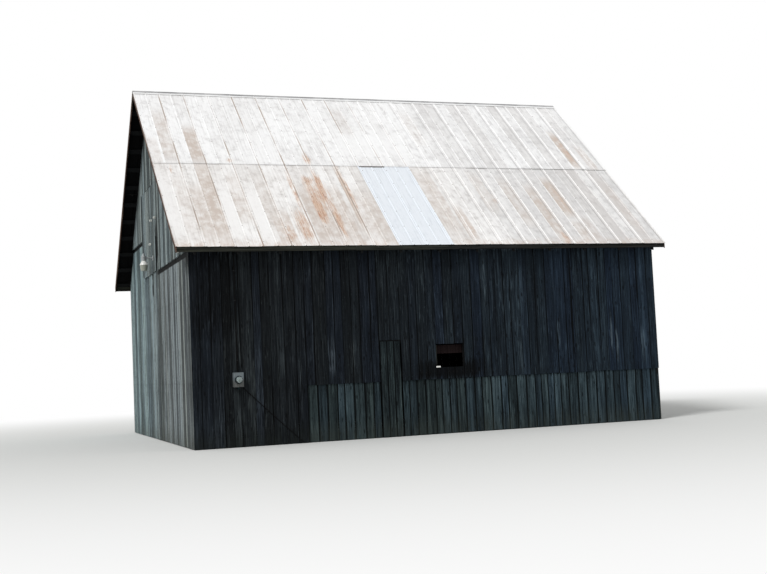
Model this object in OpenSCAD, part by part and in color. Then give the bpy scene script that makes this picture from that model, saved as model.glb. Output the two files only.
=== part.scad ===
// Timber barn with vertical board walls and a crimped metal gable roof.
// Millimetres, +Z up. X runs along the ridge and Y from the front wall to the
// back wall. The origin is at ground level under the middle of the roof.
// Each wall stands as a slab of the boards' thickness on its own frame.

/* [Barn] */
// Length over the upper boards of both end walls
barn_l = 11020; // [9000:10:14000]
// Width over the front and back walls
barn_w = 9750; // [8000:10:12000]
// Height of the roof deck above the face of the front wall
eave_h = 4330; // [4000:10:5000]
// Pitch of both roof slopes in degrees
pitch = 41; // [35:0.5:45]
// Thickness of the wall boards
board_t = 25; // [19:1:40]

/* [Roof] */
// Overhang of the roof past the left end wall
left_overhang = 375; // [365:5:600]
// Overhang of the roof past the right end wall
right_overhang = 195; // [120:5:600]
// Overhang of the roof past the front and back walls
eave_overhang = 250; // [150:10:500]
// Width that one roof sheet covers
sheet_w = 610; // [500:5:800]
// Thickness of a roof sheet
sheet_t = 2; // [1:0.5:4]
// Height of a crimp
crimp_h = 12; // [6:1:25]
// Width of a crimp at its foot
crimp_w = 30; // [16:1:44]
// Distance between the two crimps at a side lap
crimp_gap = 48; // [44:1:70]
// Share of the slope that the upper course of sheets covers
upper_share = 0.51; // [0.35:0.01:0.65]
// Length by which the upper course laps the lower one
course_lap = 150; // [80:10:300]
// Number of lower sheets left of the two newer ones
sheets_before_new = 8; // [3:1:12]
// Width of each wing of the ridge cap
cap_wing = 150; // [90:5:260]
// Thickness of the deck laths
lath_t = 25; // [19:1:40]
// Width of a deck lath
lath_w = 140; // [75:5:200]
// Spacing of the deck laths down the slope
lath_pitch = 600; // [400:10:900]
// Depth of a rafter
rafter_d = 120; // [90:5:200]
// Width of a rafter
rafter_w = 50; // [38:1:100]
// Greatest spacing of the rafters
rafter_pitch = 920; // [600:10:1200]
// Thickness of the rake and fascia boards
trim_t = 25; // [19:1:40]
// Depth of the fascia under the deck
fascia_d = 115; // [80:5:200]
// Depth of the rake boards under the deck
rake_d = 100; // [70:5:180]
// Depth of the ridge board
ridge_d = 200; // [140:10:300]
// Depth of the notch by which a rafter sits down over its plate
notch_d = 25; // [15:1:40]

/* [Frame] */
// Size of the square posts
post_s = 150; // [100:5:200]
// Height and width of the sill beams
sill_s = 200; // [150:5:250]
// Height and width of the wall plates
plate_s = 150; // [100:5:200]
// Height of the tie beams
tie_h = 200; // [150:5:250]
// Number of bays between the posts along the barn
bays = 3; // [3:2:5]
// Number of posts inside each end wall
end_posts_n = 3; // [2:1:5]
// Height of a girt
girt_h = 120; // [80:5:160]
// Depth of a girt behind the wall boards
girt_t = 50; // [38:1:80]
// Length of each leg of a knee brace
brace_leg = 800; // [500:10:1100]
// Thickness of a knee brace
brace_s = 90; // [60:5:120]

/* [Front wall] */
// Length of the left stretch whose boards reach the ground
full_boards_l = 2420; // [1600:10:3600]
// Height of the skirt of shorter boards
skirt_h = 1250; // [1100:10:1300]
// Length by which the upper boards lap the skirt
skirt_lap = 60; // [30:5:90]
// Left edge of the narrow panel from the left corner
panel_x = 4060; // [3700:10:4300]
// Width of the narrow panel
panel_w = 480; // [300:10:600]
// Height of the narrow panel
panel_h = 2060; // [1900:10:2300]
// Gap at each side of the narrow panel
panel_gap = 12; // [4:1:25]
// Left edge of the window opening from the left corner
window_x = 5360; // [5000:10:6500]
// Width of the window opening
window_w = 660; // [400:10:900]
// Height of the window opening's lower edge above the skirt
window_rise = 200; // [170:10:300]
// Height of the window opening
window_h = 500; // [300:10:550]

/* [End walls] */
// Drop of the upper boards' lower edge below the deck at the eaves
lap_drop = 260; // [200:10:500]
// Rise of that edge in the back third of the left end
high_lap_rise = 1000; // [700:10:1300]
// Length by which the upper boards lap the lower ones
end_lap = 80; // [40:5:150]
// Drop of the highest girt of a gable below the ridge
top_girt_drop = 2200; // [1800:10:2400]
// Place of the loft panel's front edge from the middle of the barn
loft_front = -430; // [-900:10:200]
// Width of the loft panel
loft_w = 2350; // [1600:10:2600]
// Height of the loft panel
loft_h = 2150; // [1500:10:2300]
// Gap beside the loft panel
loft_gap = 15; // [5:1:30]
// Width of the open slot in front of the loft panel, where a board has gone
slot_w = 200; // [100:10:300]
// Height of that slot above the upper boards' lower edge
slot_h = 850; // [400:10:1400]
// Width of a ledge behind the loft panel
ledge_w = 100; // [70:5:150]
// Distance from a ledge's end to the panel's edge
ledge_in = 60; // [30:5:120]

/* [Fittings] */
// Width of the meter box
meter_w = 210; // [150:5:300]
// Height of the meter box
meter_h = 300; // [220:5:400]
// Depth of the meter box
meter_d = 110; // [80:5:160]
// Middle of the meter box from the left corner
meter_x = 935; // [600:5:1500]
// Height of the middle of the meter box
meter_z = 1385; // [1000:5:1700]
// Height of the pipe hub under the meter box
hub_h = 45; // [25:5:70]
// Diameter of the meter's glass
glass_d = 165; // [110:5:200]
// Depth of the meter's glass in front of the box
glass_h = 90; // [60:5:120]
// Depth of the ring that holds the glass
ring_h = 30; // [15:5:45]
// Diameter of the cable down the wall
cable_d = 28; // [16:1:40]
// Diameter of the ground cable
ground_d = 16; // [8:1:24]
// Run of the ground cable along the wall, from the meter to the ground
ground_run = 1260; // [600:10:2000]
// Height of the yard light's arm above the upper boards' lower edge
light_rise = 370; // [340:10:800]
// Distance of the yard light's axis from the wall
light_reach = 225; // [190:5:240]
// Diameter of the yard light's arm
arm_d = 32; // [20:1:45]
// Diameter of the yard light's ballast housing
ballast_d = 124; // [100:2:150]
// Height of the yard light's ballast housing
ballast_h = 125; // [100:5:160]
// Diameter of the light sensor on the housing
sensor_d = 56; // [40:2:80]
// Height of the light sensor
sensor_h = 55; // [30:5:80]
// Diameter of the yard light's bell at its mouth
bell_d = 205; // [180:5:270]
// Height of the yard light's bell
bell_h = 250; // [140:5:260]
// Diameter of a knob insulator
knob_d = 60; // [40:2:90]

/* [Hidden] */

// Smallest clearance between pieces that meet face to face, and how far bodies
// reach past each other where they are cut or joined
fit = 0.3;
overlap = 1;

// Sides of small rods, of turned pieces and of the widest turned pieces
rod_sides = 16;
turned_sides = 32;
wide_sides = 48;

// Shares of a size: the meter's hub to the cable, the meter's glass to its ring,
// the arm's height on the yard light's housing, and the bell's neck to the housing
hub_share = 1.8;
glass_share = 0.82;
arm_share = 0.56;
neck_share = 0.47;

// Share of a girt's height from the top of the lapped boards to its middle
girt_share = 0.7;

// Outlines of turned pieces, from the foot to the top, as shares of the diameter
// and of the height: the light's housing, its sensor, its bell and a wire knob
ballast_outline = [[0.5, 0], [0.5, 0.8], [0.39, 1]];
sensor_outline = [[0.5, 0], [0.5, 0.9], [0, 1]];
bell_outline = [[0.44, 0], [0.5, 0.06], [0.47, 0.55], [0.3, 0.85]];
knob_outline = [[0.42, 0], [0.5, 0.2], [0.34, 0.42], [0.5, 0.65], [0.42, 0.9], [0, 1]];

// Half sizes and the faces of the walls. The roof's middle is at x = 0.
roof_l = barn_l + left_overhang + right_overhang;
left_x = -roof_l / 2 + left_overhang;
right_x = roof_l / 2 - right_overhang;
half_w = barn_w / 2;
front_y = -half_w;

// The upper boards of the end walls stand proud of the barn's corners. Places
// on the front wall are measured from its left corner.
corner_x = left_x + board_t;
wall_l = barn_l - 2 * board_t;

// Depths behind the outer faces: of the boards tucked behind others, of the sill
// and the frame's rails, and of the posts' outer and inner faces
tuck_in = board_t + fit;
sill_in = 2 * tuck_in;
frame_in = sill_in + girt_t;
post_in = frame_in + post_s;

// The deck is the plane that the roof sheets lie on.
run_to_eave = half_w + eave_overhang;
slope_l = run_to_eave / cos(pitch);
ridge_z = eave_h + half_w * tan(pitch);
function deck_z(y) = ridge_z - abs(y) * tan(pitch);
lath_drop = lath_t / cos(pitch);
rafter_drop = (lath_t + rafter_d) / cos(pitch);
wall_top = eave_h - rafter_drop - fit;

// Frame heights
plate_top = deck_z(half_w - frame_in) - rafter_drop + notch_d;
plate_z = plate_top - plate_s;
tie_z = plate_z - tie_h;
post_top = tie_z;

// Places of the posts and of the rafters along the barn
bay_l = (barn_l - 2 * frame_in - post_s) / bays;
function post_x(i) = left_x + frame_in + i * bay_l;
rafter_n = ceil((barn_l - 2 * frame_in - rafter_w) / rafter_pitch);
rafter_step = (barn_l - 2 * frame_in - rafter_w) / rafter_n;
end_bay = (barn_w - 2 * post_in) / (end_posts_n + 1);

// Heights of the window opening, of the laps of the end walls' boards and of the
// girts' middles
window_z = skirt_h + window_rise;
window_top = window_z + window_h;
lap_z = eave_h - lap_drop;
high_lap_z = lap_z + high_lap_rise;
skirt_rail_z = skirt_h - girt_h / 2 - skirt_lap;
low_girt_z = skirt_h + window_rise / 2;
girt_zs = [low_girt_z, window_top + girt_h, (window_top + plate_z) / 2 + girt_h];
gable_girt_zs = [lap_z + end_lap + girt_h * girt_share,
    high_lap_z + end_lap + girt_h / 2, ridge_z - top_girt_drop];
ledge_zs = [for (i = [0, 1]) (gable_girt_zs[i] + gable_girt_zs[i + 1]) / 2];
loft_back = loft_front + loft_w;

// Courses of roof sheets
sheet_n = max(3, round(roof_l / sheet_w));
sheet_step = roof_l / sheet_n;
upper_l = slope_l * upper_share;
lower_l = slope_l - upper_l + course_lap;
new_first = min(sheets_before_new, sheet_n - 3);
upper_lift = 2 * (sheet_t + fit);
cap_rise = upper_lift + crimp_h + sheet_t + fit;

timber = [0.42, 0.36, 0.29];
dark_board = [0.09, 0.11, 0.14];
skirt_board = [0.24, 0.28, 0.29];
grey_board = [0.45, 0.47, 0.47];
tin = [0.78, 0.75, 0.72];
new_tin = [0.74, 0.79, 0.86];
trim_brown = [0.33, 0.22, 0.17];

// An outline given as shares, sized to a diameter and a height
function sized(outline, d, h) = [for (p = outline) [p.x * d, p.y * h]];

// A box given by its low corner and its size
module beam(low, size) translate(low) cube(size);

// Copies its children to the other side of the ridge
module on_back() mirror([0, 1, 0]) children();

// Puts its children on the front slope: local -Y runs down the slope from the
// ridge, and local Z stands off the deck.
module on_slope() translate([0, 0, ridge_z]) rotate([pitch, 0, 0]) children();

// Extrudes a drawing in Y and Z along X, from x to x + l
module along_x(x, l) translate([x, 0, 0]) rotate([90, 0, 90]) linear_extrude(l) children();

// Half of the gable's outline in Y and Z, up to a drop under the deck
module gable_outline(drop, side_in) polygon([
    [-half_w + side_in, 0], [half_w - side_in, 0],
    [half_w - side_in, deck_z(half_w - side_in) - drop], [0, ridge_z - drop],
    [-half_w + side_in, deck_z(half_w - side_in) - drop]]);

// Part of the gable between two places in Y and two heights
module gable_part(y0, y1, z0, z1, drop, side_in) intersection() {
    gable_outline(drop, side_in);
    translate([y0, z0]) square([y1 - y0, z1 - z0]);
}

// Sill beams round the foot of the frame
module sills() color(timber) {
    for (y = [front_y + sill_in, half_w - sill_in - sill_s])
        beam([left_x + sill_in, y, 0], [barn_l - 2 * sill_in, sill_s, sill_s]);
    for (x = [left_x + sill_in, right_x - sill_in - sill_s])
        beam([x, front_y + sill_in + sill_s + fit, 0],
            [sill_s, barn_w - 2 * (sill_in + sill_s + fit), sill_s]);
}

// Posts of one long wall, from the sill to the tie beams
module long_wall_posts() for (i = [0:bays])
    beam([post_x(i), front_y + frame_in, sill_s], [post_s, post_s, post_top - sill_s]);
module front_posts() color(timber) long_wall_posts();
module back_posts() color(timber) on_back() long_wall_posts();

// Posts inside both end walls
module end_posts() color(timber)
    for (x = [left_x + frame_in, right_x - post_in], i = [1:end_posts_n])
        beam([x, front_y + post_in + i * end_bay - post_s / 2, sill_s],
            [post_s, post_s, post_top - sill_s]);

// A girt on one long wall, with its outer face behind the boards
module long_girt(z, x0, x1, inset) beam([x0, front_y + inset, z - girt_h / 2],
    [x1 - x0, frame_in - inset, girt_h]);

// Girts of the front wall: the lowest carries the skirt
module front_girts() color(timber) {
    long_girt(skirt_rail_z, corner_x + full_boards_l, right_x - frame_in, sill_in);
    for (z = girt_zs) long_girt(z, left_x + frame_in, right_x - frame_in, tuck_in);
}
module back_girts() color(timber) on_back()
    for (z = concat([skirt_rail_z], girt_zs))
        long_girt(z, left_x + frame_in, right_x - frame_in, tuck_in);

// Girts across one end wall: low ones behind the lower boards, and high ones
// that reach out to the upper boards, up to where the lower boards run higher
module end_wall_girts(high_from) {
    for (z = concat([skirt_rail_z], girt_zs))
        along_x(left_x + sill_in, girt_t)
            gable_part(front_y + tuck_in, half_w - tuck_in, z - girt_h / 2, z + girt_h / 2,
                rafter_drop, tuck_in);
    for (z = gable_girt_zs) {
        proud_to = z < high_lap_z ? high_from : half_w;
        along_x(left_x + sill_in, girt_t)
            gable_part(front_y + frame_in, half_w - frame_in, z - girt_h / 2,
                z + girt_h / 2, rafter_drop + fit, frame_in);
        along_x(left_x + tuck_in, tuck_in + fit)
            gable_part(front_y + frame_in, min(proud_to, half_w - frame_in),
                z - girt_h / 2, z + girt_h / 2, rafter_drop + fit, frame_in);
    }
}
module end_girts() color(timber) {
    end_wall_girts(loft_back);
    mirrored_end() end_wall_girts(half_w);
}

// Turns what is made for the left end to the right one
module mirrored_end() translate([left_x + right_x, 0, 0]) mirror([1, 0, 0]) children();

// Plates on the long walls, which the rafters sit on
module wall_plates() color(timber)
    for (y = [front_y + frame_in, half_w - frame_in - plate_s])
        beam([left_x + frame_in, y, plate_z], [barn_l - 2 * frame_in, plate_s, plate_s]);

// Tie beams across the barn on the posts, under the plates
module tie_beams() color(timber) for (i = [0:bays])
    beam([post_x(i), front_y + frame_in, tie_z], [post_s, barn_w - 2 * frame_in, tie_h]);

// A knee brace drawn from a post (at 0, going down) to a beam (at 0, going out)
module knee() polygon([[0, -brace_leg], [brace_leg, 0],
    [brace_leg - brace_s * sqrt(2), 0], [0, -brace_leg + brace_s * sqrt(2)]]);

// Braces in the plane of the long walls, from the posts to the tie beams' level
module long_wall_braces() for (i = [0:bays - 1]) {
    translate([post_x(i) + post_s, front_y + post_in, plate_z]) rotate([90, 0, 0])
        linear_extrude(brace_s / 2) knee();
    translate([post_x(i + 1), front_y + post_in - brace_s / 2, plate_z])
        rotate([90, 0, 180]) linear_extrude(brace_s / 2) knee();
}
module wall_braces() color(timber) {
    long_wall_braces();
    on_back() long_wall_braces();
}

// Braces from the inner posts to the tie beams
module tie_braces() color(timber) for (i = [1:bays - 1], side = [0, 1])
    mirror([0, side, 0]) along_x(post_x(i) + (post_s - brace_s) / 2, brace_s)
        translate([front_y + post_in, tie_z]) knee();

// Studs from the end tie beams up to the gable
module gable_studs() color(timber)
    for (x = [left_x + frame_in, right_x - frame_in - post_s / 2], i = [1:end_posts_n])
        along_x(x, post_s / 2) let (y = front_y + post_in + i * end_bay)
            gable_part(y - post_s / 2, y + post_s / 2, tie_z + tie_h, ridge_z,
                rafter_drop + fit, frame_in);

// A rafter's outline in Y and Z, notched over the plate
module rafter_outline() difference() {
    polygon([[-run_to_eave + 2 * trim_t, deck_z(run_to_eave - 2 * trim_t) - lath_drop],
        [-trim_t / 2, deck_z(trim_t / 2) - lath_drop],
        [-trim_t / 2, deck_z(trim_t / 2) - rafter_drop],
        [-run_to_eave + 2 * trim_t, deck_z(run_to_eave - 2 * trim_t) - rafter_drop]]);
    translate([front_y + frame_in - fit, plate_z]) square([plate_s + 2 * fit, plate_s + fit]);
}
module slope_rafters() for (i = [0:rafter_n])
    along_x(left_x + frame_in + i * rafter_step, rafter_w) rafter_outline();
module front_rafters() color(timber) slope_rafters();
module back_rafters() color(timber) on_back() slope_rafters();

// Ridge board between the rafters
module ridge_board() color(timber)
    beam([left_x + frame_in, -trim_t / 2 + fit, deck_z(trim_t / 2) - lath_drop - ridge_d],
        [barn_l - 2 * frame_in, trim_t - 2 * fit, ridge_d]);

// Deck laths, which run past the end walls to the rake boards
lath_n = floor((slope_l - trim_t - lath_w) / lath_pitch);
module slope_laths() on_slope() for (i = [0:lath_n])
    let (u = slope_l - 2 * trim_t / cos(pitch) - i * lath_pitch)
        beam([-roof_l / 2 + trim_t + fit, -u, -lath_t],
            [roof_l - 2 * (trim_t + fit), min(lath_w, u - lath_t), lath_t]);
module front_roof_lath() color(timber) slope_laths();
module back_roof_lath() color(timber) on_back() slope_laths();

// Middles of the crimps on sheets first to last: one in the middle of each sheet
// and a pair at each side lap. At the roof's ends only the inner one is there.
function crimp_places(first, last) = concat(
    [for (i = [first:last]) (i + 0.5) * sheet_step],
    [for (i = [first:last + 1]) if (i > 0) i * sheet_step - crimp_gap / 2],
    [for (i = [first:last + 1]) if (i < sheet_n) i * sheet_step + crimp_gap / 2]);

// Sorts a short list of numbers
function sorted(v) = len(v) < 2 ? v : let (p = v[0])
    concat(sorted([for (a = v) if (a < p) a]), [p], sorted([for (a = v) if (a > p) a]));

// Cross-section of a run of sheets, which laps the next one over both crimps and
// by a narrow edge beyond them
lap_edge = 3;
lap_reach = (crimp_gap + crimp_w) / 2 + lap_edge;
module sheet_section(first, last) {
    from = first == 0 ? 0 : first * sheet_step - lap_reach;
    to = last == sheet_n - 1 ? roof_l : (last + 1) * sheet_step + lap_reach;
    under = concat([[from, 0]], [for (c = sorted(crimp_places(first, last)))
        each [[c - crimp_w / 2, 0], [c, crimp_h], [c + crimp_w / 2, 0]]], [[to, 0]]);
    n = len(under) - 1;
    over = [for (i = [n:-1:0]) under[i] + [0, sheet_t]];
    polygon(concat(under, over));
}

// A run of sheets from u down the slope, raised by lift off the deck
module sheets(first, last, u, l, lift) on_slope() translate([-roof_l / 2, -u, lift])
    rotate([90, 0, 0]) linear_extrude(l) sheet_section(first, last);

module upper_course() sheets(0, sheet_n - 1, trim_t, upper_l - trim_t, upper_lift);
module front_roof_upper() color(tin) upper_course();
module front_roof_lower() color(tin) {
    sheets(0, new_first - 1, slope_l - lower_l, lower_l, 0);
    sheets(new_first + 2, sheet_n - 1, slope_l - lower_l, lower_l, 0);
}
module new_roof_sheets() color(new_tin)
    sheets(new_first, new_first + 1, slope_l - lower_l, lower_l, sheet_t + fit);
module back_roof_upper() color(tin) on_back() upper_course();
module back_roof_lower() color(tin) on_back()
    sheets(0, sheet_n - 1, slope_l - lower_l, lower_l, 0);

// Ridge cap, bent over the tops of the crimps
module ridge_cap() color(tin) along_x(-roof_l / 2, roof_l) {
    cap_in = cap_rise / cos(pitch);
    reach = cap_wing * cos(pitch);
    polygon([[-reach, deck_z(reach) + cap_in], [0, ridge_z + cap_in],
        [reach, deck_z(reach) + cap_in], [reach, deck_z(reach) + cap_in + sheet_t],
        [0, ridge_z + cap_in + 2 * sheet_t], [-reach, deck_z(reach) + cap_in + sheet_t]]);
}

// Rake boards over the ends of the laths, one on each slope at each end
module rake_outline() polygon([[-run_to_eave + trim_t, deck_z(run_to_eave - trim_t)],
    [-fit, deck_z(fit)], [-fit, deck_z(fit) - rake_d / cos(pitch)],
    [-run_to_eave + trim_t, deck_z(run_to_eave - trim_t) - rake_d / cos(pitch)]]);
module rake_boards() color(trim_brown)
    for (x = [-roof_l / 2, roof_l / 2 - trim_t], side = [0, 1])
        mirror([0, side, 0]) along_x(x, trim_t) rake_outline();

// Fascia along each eave, with its top cut to the slope
module eave_fascias() color(trim_brown) for (side = [0, 1])
    mirror([0, side, 0]) along_x(-roof_l / 2 + trim_t + fit, roof_l - 2 * (trim_t + fit)) {
        y0 = run_to_eave - trim_t;
        y1 = run_to_eave - 2 * trim_t + fit;
        polygon([[-y0, deck_z(y0) - fascia_d], [-y0, deck_z(y0) - fit],
            [-y1, deck_z(y1) - fit], [-y1, deck_z(y0) - fascia_d]]);
    }

// A slab of the front wall's boards between two places from the left corner
module front_slab(x0, x1, z0, z1, inset) beam([corner_x + x0, front_y + inset, z0],
    [x1 - x0, board_t, z1 - z0]);
upper_z = skirt_h - skirt_lap;

module front_wall_left() color(dark_board)
    front_slab(0, full_boards_l - fit, 0, wall_top, 0);
module front_wall_mid() color(dark_board) difference() {
    front_slab(full_boards_l, window_x, upper_z, wall_top, 0);
    beam([corner_x + panel_x - panel_gap, front_y - overlap, 0],
        [panel_w + 2 * panel_gap, board_t + 2 * overlap, panel_h + panel_gap]);
}
module front_wall_over_window() color(dark_board)
    front_slab(window_x + fit, window_x + window_w - fit, window_top, wall_top, 0);
module front_wall_under_window() color(dark_board)
    front_slab(window_x + fit, window_x + window_w - fit, upper_z, window_z, 0);
module front_wall_right() color(dark_board)
    front_slab(window_x + window_w, wall_l, upper_z, wall_top, 0);
module front_skirt() color(skirt_board) {
    front_slab(full_boards_l, panel_x - panel_gap, 0, skirt_h, tuck_in);
    front_slab(panel_x + panel_w + panel_gap, wall_l, 0, skirt_h, tuck_in);
}
module narrow_panel() color(skirt_board)
    front_slab(panel_x, panel_x + panel_w, 0, panel_h, 0);

// Short studs at both sides of the window, between two girts
module window_studs() color(timber)
    for (x = [window_x - girt_t - fit, window_x + window_w + fit])
        beam([corner_x + x, front_y + tuck_in, girt_zs[0] + girt_h / 2 + fit],
            [girt_t, frame_in - tuck_in, girt_zs[1] - girt_zs[0] - girt_h - 2 * fit]);

module back_wall() color(dark_board)
    on_back() front_slab(0, wall_l, 0, wall_top, 0);

// Lower boards of an end wall, tucked behind the upper ones
module end_wall(high_from) along_x(left_x + tuck_in, board_t) {
    gable_part(front_y + tuck_in, high_from, 0, lap_z + end_lap, rafter_drop, tuck_in);
    gable_part(high_from - overlap, half_w - tuck_in, 0,
        (high_from < half_w ? high_lap_z : lap_z) + end_lap, rafter_drop, tuck_in);
}
module left_wall() color(grey_board) end_wall(loft_back + loft_gap);
module right_wall() color(grey_board) mirrored_end() end_wall(half_w);

// Upper boards of the left end wall, round the loft panel and the slot in front of it
module left_gable_boards() color(grey_board) along_x(left_x, board_t) difference() {
    union() {
        gable_part(front_y, loft_back + loft_gap, lap_z, ridge_z, lath_drop + fit, 0);
        gable_part(loft_back, half_w, high_lap_z, ridge_z, lath_drop + fit, 0);
    }
    translate([loft_front - loft_gap, 0])
        square([loft_w + 2 * loft_gap, lap_z + loft_h + loft_gap]);
    translate([loft_front - loft_gap - slot_w, 0]) square([slot_w + overlap, lap_z + slot_h]);
}

// Panel of boards over the loft opening, with its ledges behind
module loft_panel() color(grey_board) {
    beam([left_x, loft_front, lap_z], [board_t, loft_w, loft_h]);
    for (z = ledge_zs)
        beam([left_x + board_t - fit, loft_front + ledge_in, z - ledge_w / 2],
            [board_t, loft_w - 2 * ledge_in, ledge_w]);
}
module right_gable_boards() color(grey_board) mirrored_end() along_x(left_x, board_t)
    gable_part(front_y, half_w, lap_z, ridge_z, lath_drop + fit, 0);

// Electric meter on the front wall: box, hub under it and glass
module meter_box() color([0.62, 0.66, 0.68]) {
    beam([corner_x + meter_x - meter_w / 2, front_y - meter_d, meter_z - meter_h / 2],
        [meter_w, meter_d, meter_h]);
    translate([corner_x + meter_x, front_y - meter_d / 2, meter_z - meter_h / 2 - hub_h])
        cylinder(d = cable_d * hub_share, h = hub_h + fit, $fn = turned_sides);
}
module meter_glass() color([0.8, 0.85, 0.88])
    translate([corner_x + meter_x, front_y - meter_d, meter_z]) rotate([90, 0, 0]) {
        cylinder(d = glass_d, h = ring_h, $fn = wide_sides);
        cylinder(d = glass_d * glass_share, h = glass_h, $fn = wide_sides);
    }

// Cable clipped to the wall, from the eave down into the meter box
module service_cable() color([0.12, 0.12, 0.12])
    translate([corner_x + meter_x, front_y - cable_d / 2 - fit, meter_z + meter_h / 2])
        cylinder(d = cable_d, h = wall_top - cable_d - meter_z - meter_h / 2,
            $fn = rod_sides);

// Ground cable, which runs down the wall at a slant from the meter box
module ground_cable() color([0.05, 0.05, 0.05]) {
    drop = meter_z - meter_h / 2 - ground_d;
    translate([corner_x + meter_x + meter_w / 2, front_y - ground_d / 2 - fit, drop])
        rotate([0, atan2(ground_run, -drop + ground_d), 0])
            cylinder(d = ground_d, h = norm([ground_run, drop - ground_d]),
                $fn = rod_sides);
}

// Yard light: arm with its wall plate, ballast housing with its light sensor, and
// a closed bell-shaped lens under the housing. The plate's size is given in X, Y
// and Z.
light_x = left_x - light_reach;
light_z = lap_z + light_rise;
light_plate = [6, 100, 120];
ballast_z = light_z - ballast_h * arm_share;
module yard_light_arm() color([0.6, 0.62, 0.63]) {
    beam([left_x - light_plate.x, -light_plate.y / 2, light_z - light_plate.z / 2],
        [light_plate.x - fit, light_plate.y, light_plate.z]);
    translate([light_x, 0, light_z]) rotate([0, 90, 0])
        cylinder(d = arm_d, h = light_reach - light_plate.x + fit, $fn = rod_sides);
    translate([light_x, 0, ballast_z]) rotate_extrude($fn = wide_sides)
        polygon(concat([[0, 0]], sized(ballast_outline, ballast_d, ballast_h),
            [for (p = sized(sensor_outline, sensor_d, sensor_h)) p + [0, ballast_h]]));
}
module yard_light_bell() color([0.9, 0.9, 0.88])
    translate([light_x, 0, ballast_z - fit - bell_h]) rotate_extrude($fn = wide_sides)
        polygon(concat([[0, 0]], sized(bell_outline, bell_d, bell_h),
            [[ballast_d * neck_share, bell_h], [0, bell_h]]));

// Knob insulators on the left gable, placed from the barn's middle and the upper
// boards' lower edge, and one under the front eave
knob_places = [[-620, 1280], [0, 1290], [235, 730], [-3880, 90]];
eave_knob_x = 820;
module knob() rotate_extrude($fn = turned_sides)
    polygon(concat([[0, 0]], sized(knob_outline, knob_d, knob_d)));
module wire_knobs() color([0.85, 0.83, 0.78]) {
    for (p = knob_places)
        translate([left_x - fit, p[0], lap_z + p[1]]) rotate([0, -90, 0]) knob();
    translate([corner_x + eave_knob_x, front_y - fit, wall_top - knob_d])
        rotate([90, 0, 0]) knob();
}

sills();
front_posts();
back_posts();
end_posts();
front_girts();
back_girts();
end_girts();
wall_plates();
tie_beams();
wall_braces();
tie_braces();
gable_studs();
front_rafters();
back_rafters();
ridge_board();
front_roof_lath();
back_roof_lath();
front_roof_upper();
front_roof_lower();
new_roof_sheets();
back_roof_upper();
back_roof_lower();
ridge_cap();
rake_boards();
eave_fascias();
front_wall_left();
front_wall_mid();
front_wall_over_window();
front_wall_under_window();
front_wall_right();
front_skirt();
narrow_panel();
window_studs();
back_wall();
left_wall();
left_gable_boards();
loft_panel();
right_wall();
right_gable_boards();
meter_box();
meter_glass();
service_cable();
ground_cable();
yard_light_arm();
yard_light_bell();
wire_knobs();
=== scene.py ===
"""Looks of a weathered timber barn: its boards, roof sheets, fittings and finishes.

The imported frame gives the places. Everything is in metres and in the frame's axes:
X runs along the ridge, Y from the front wall to the back wall, and Z up.
"""

import logging
import math
from dataclasses import dataclass, field, replace
from enum import Enum
from functools import cache
from typing import Callable, Iterator, Sequence

import bmesh
import bpy
import numpy as np
from mathutils import Matrix, Vector


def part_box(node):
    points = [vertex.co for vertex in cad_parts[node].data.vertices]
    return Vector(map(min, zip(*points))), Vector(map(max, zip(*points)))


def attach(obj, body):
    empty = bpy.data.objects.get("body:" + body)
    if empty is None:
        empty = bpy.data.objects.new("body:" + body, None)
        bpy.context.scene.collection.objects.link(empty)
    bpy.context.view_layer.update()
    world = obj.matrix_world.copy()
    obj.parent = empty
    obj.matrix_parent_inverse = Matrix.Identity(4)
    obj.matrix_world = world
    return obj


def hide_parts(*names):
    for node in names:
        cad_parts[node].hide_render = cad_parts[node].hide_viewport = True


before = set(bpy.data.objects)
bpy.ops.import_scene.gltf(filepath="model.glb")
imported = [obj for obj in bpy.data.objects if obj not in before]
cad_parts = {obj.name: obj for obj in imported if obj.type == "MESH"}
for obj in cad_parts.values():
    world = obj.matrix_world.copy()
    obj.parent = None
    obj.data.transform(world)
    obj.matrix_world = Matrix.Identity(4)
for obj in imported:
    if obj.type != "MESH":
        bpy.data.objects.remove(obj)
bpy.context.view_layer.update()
log = logging.getLogger("barn")

Colour = tuple[float, float, float]
Span = tuple[float, float]
Piece = bpy.types.Object
Edge = float | Span | Callable[[np.ndarray], np.ndarray]
Test = Callable[[Vector, Vector], bool]
# Air between a visible piece and what it lies on
CLEAR = 0.0003
# Thickness of a wall board, a trim board or a lath
TRIM = 0.025
PITCH = math.radians(41)
SINE, COSINE, FALL = math.sin(PITCH), math.cos(PITCH), math.tan(PITCH)
ROOF_LOW, ROOF_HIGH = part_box("rake_boards")
# Height at which the planes of the two decks meet
RIDGE = ROOF_HIGH.z + CLEAR * FALL
# How far the front slope's left edge has run in at the eave
RUN_IN = 0.11
SHEET_COUNT = 19


def srgb(red: int, green: int, blue: int) -> Colour:
    """Turn a screen colour into the linear values that shaders take.

    Args:
        red: Red, 0 to 255.
        green: Green, 0 to 255.
        blue: Blue, 0 to 255.

    Returns:
        The three linear values.
    """
    shares = (value / 255 for value in (red, green, blue))
    return tuple(s / 12.92 if s <= 0.04045 else ((s + 0.055) / 1.055) ** 2.4 for s in shares)


def scaled(colour: Colour, share: float) -> Colour:
    """Make a colour darker or lighter by a share of its light."""
    return tuple(share * value for value in colour)


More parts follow.
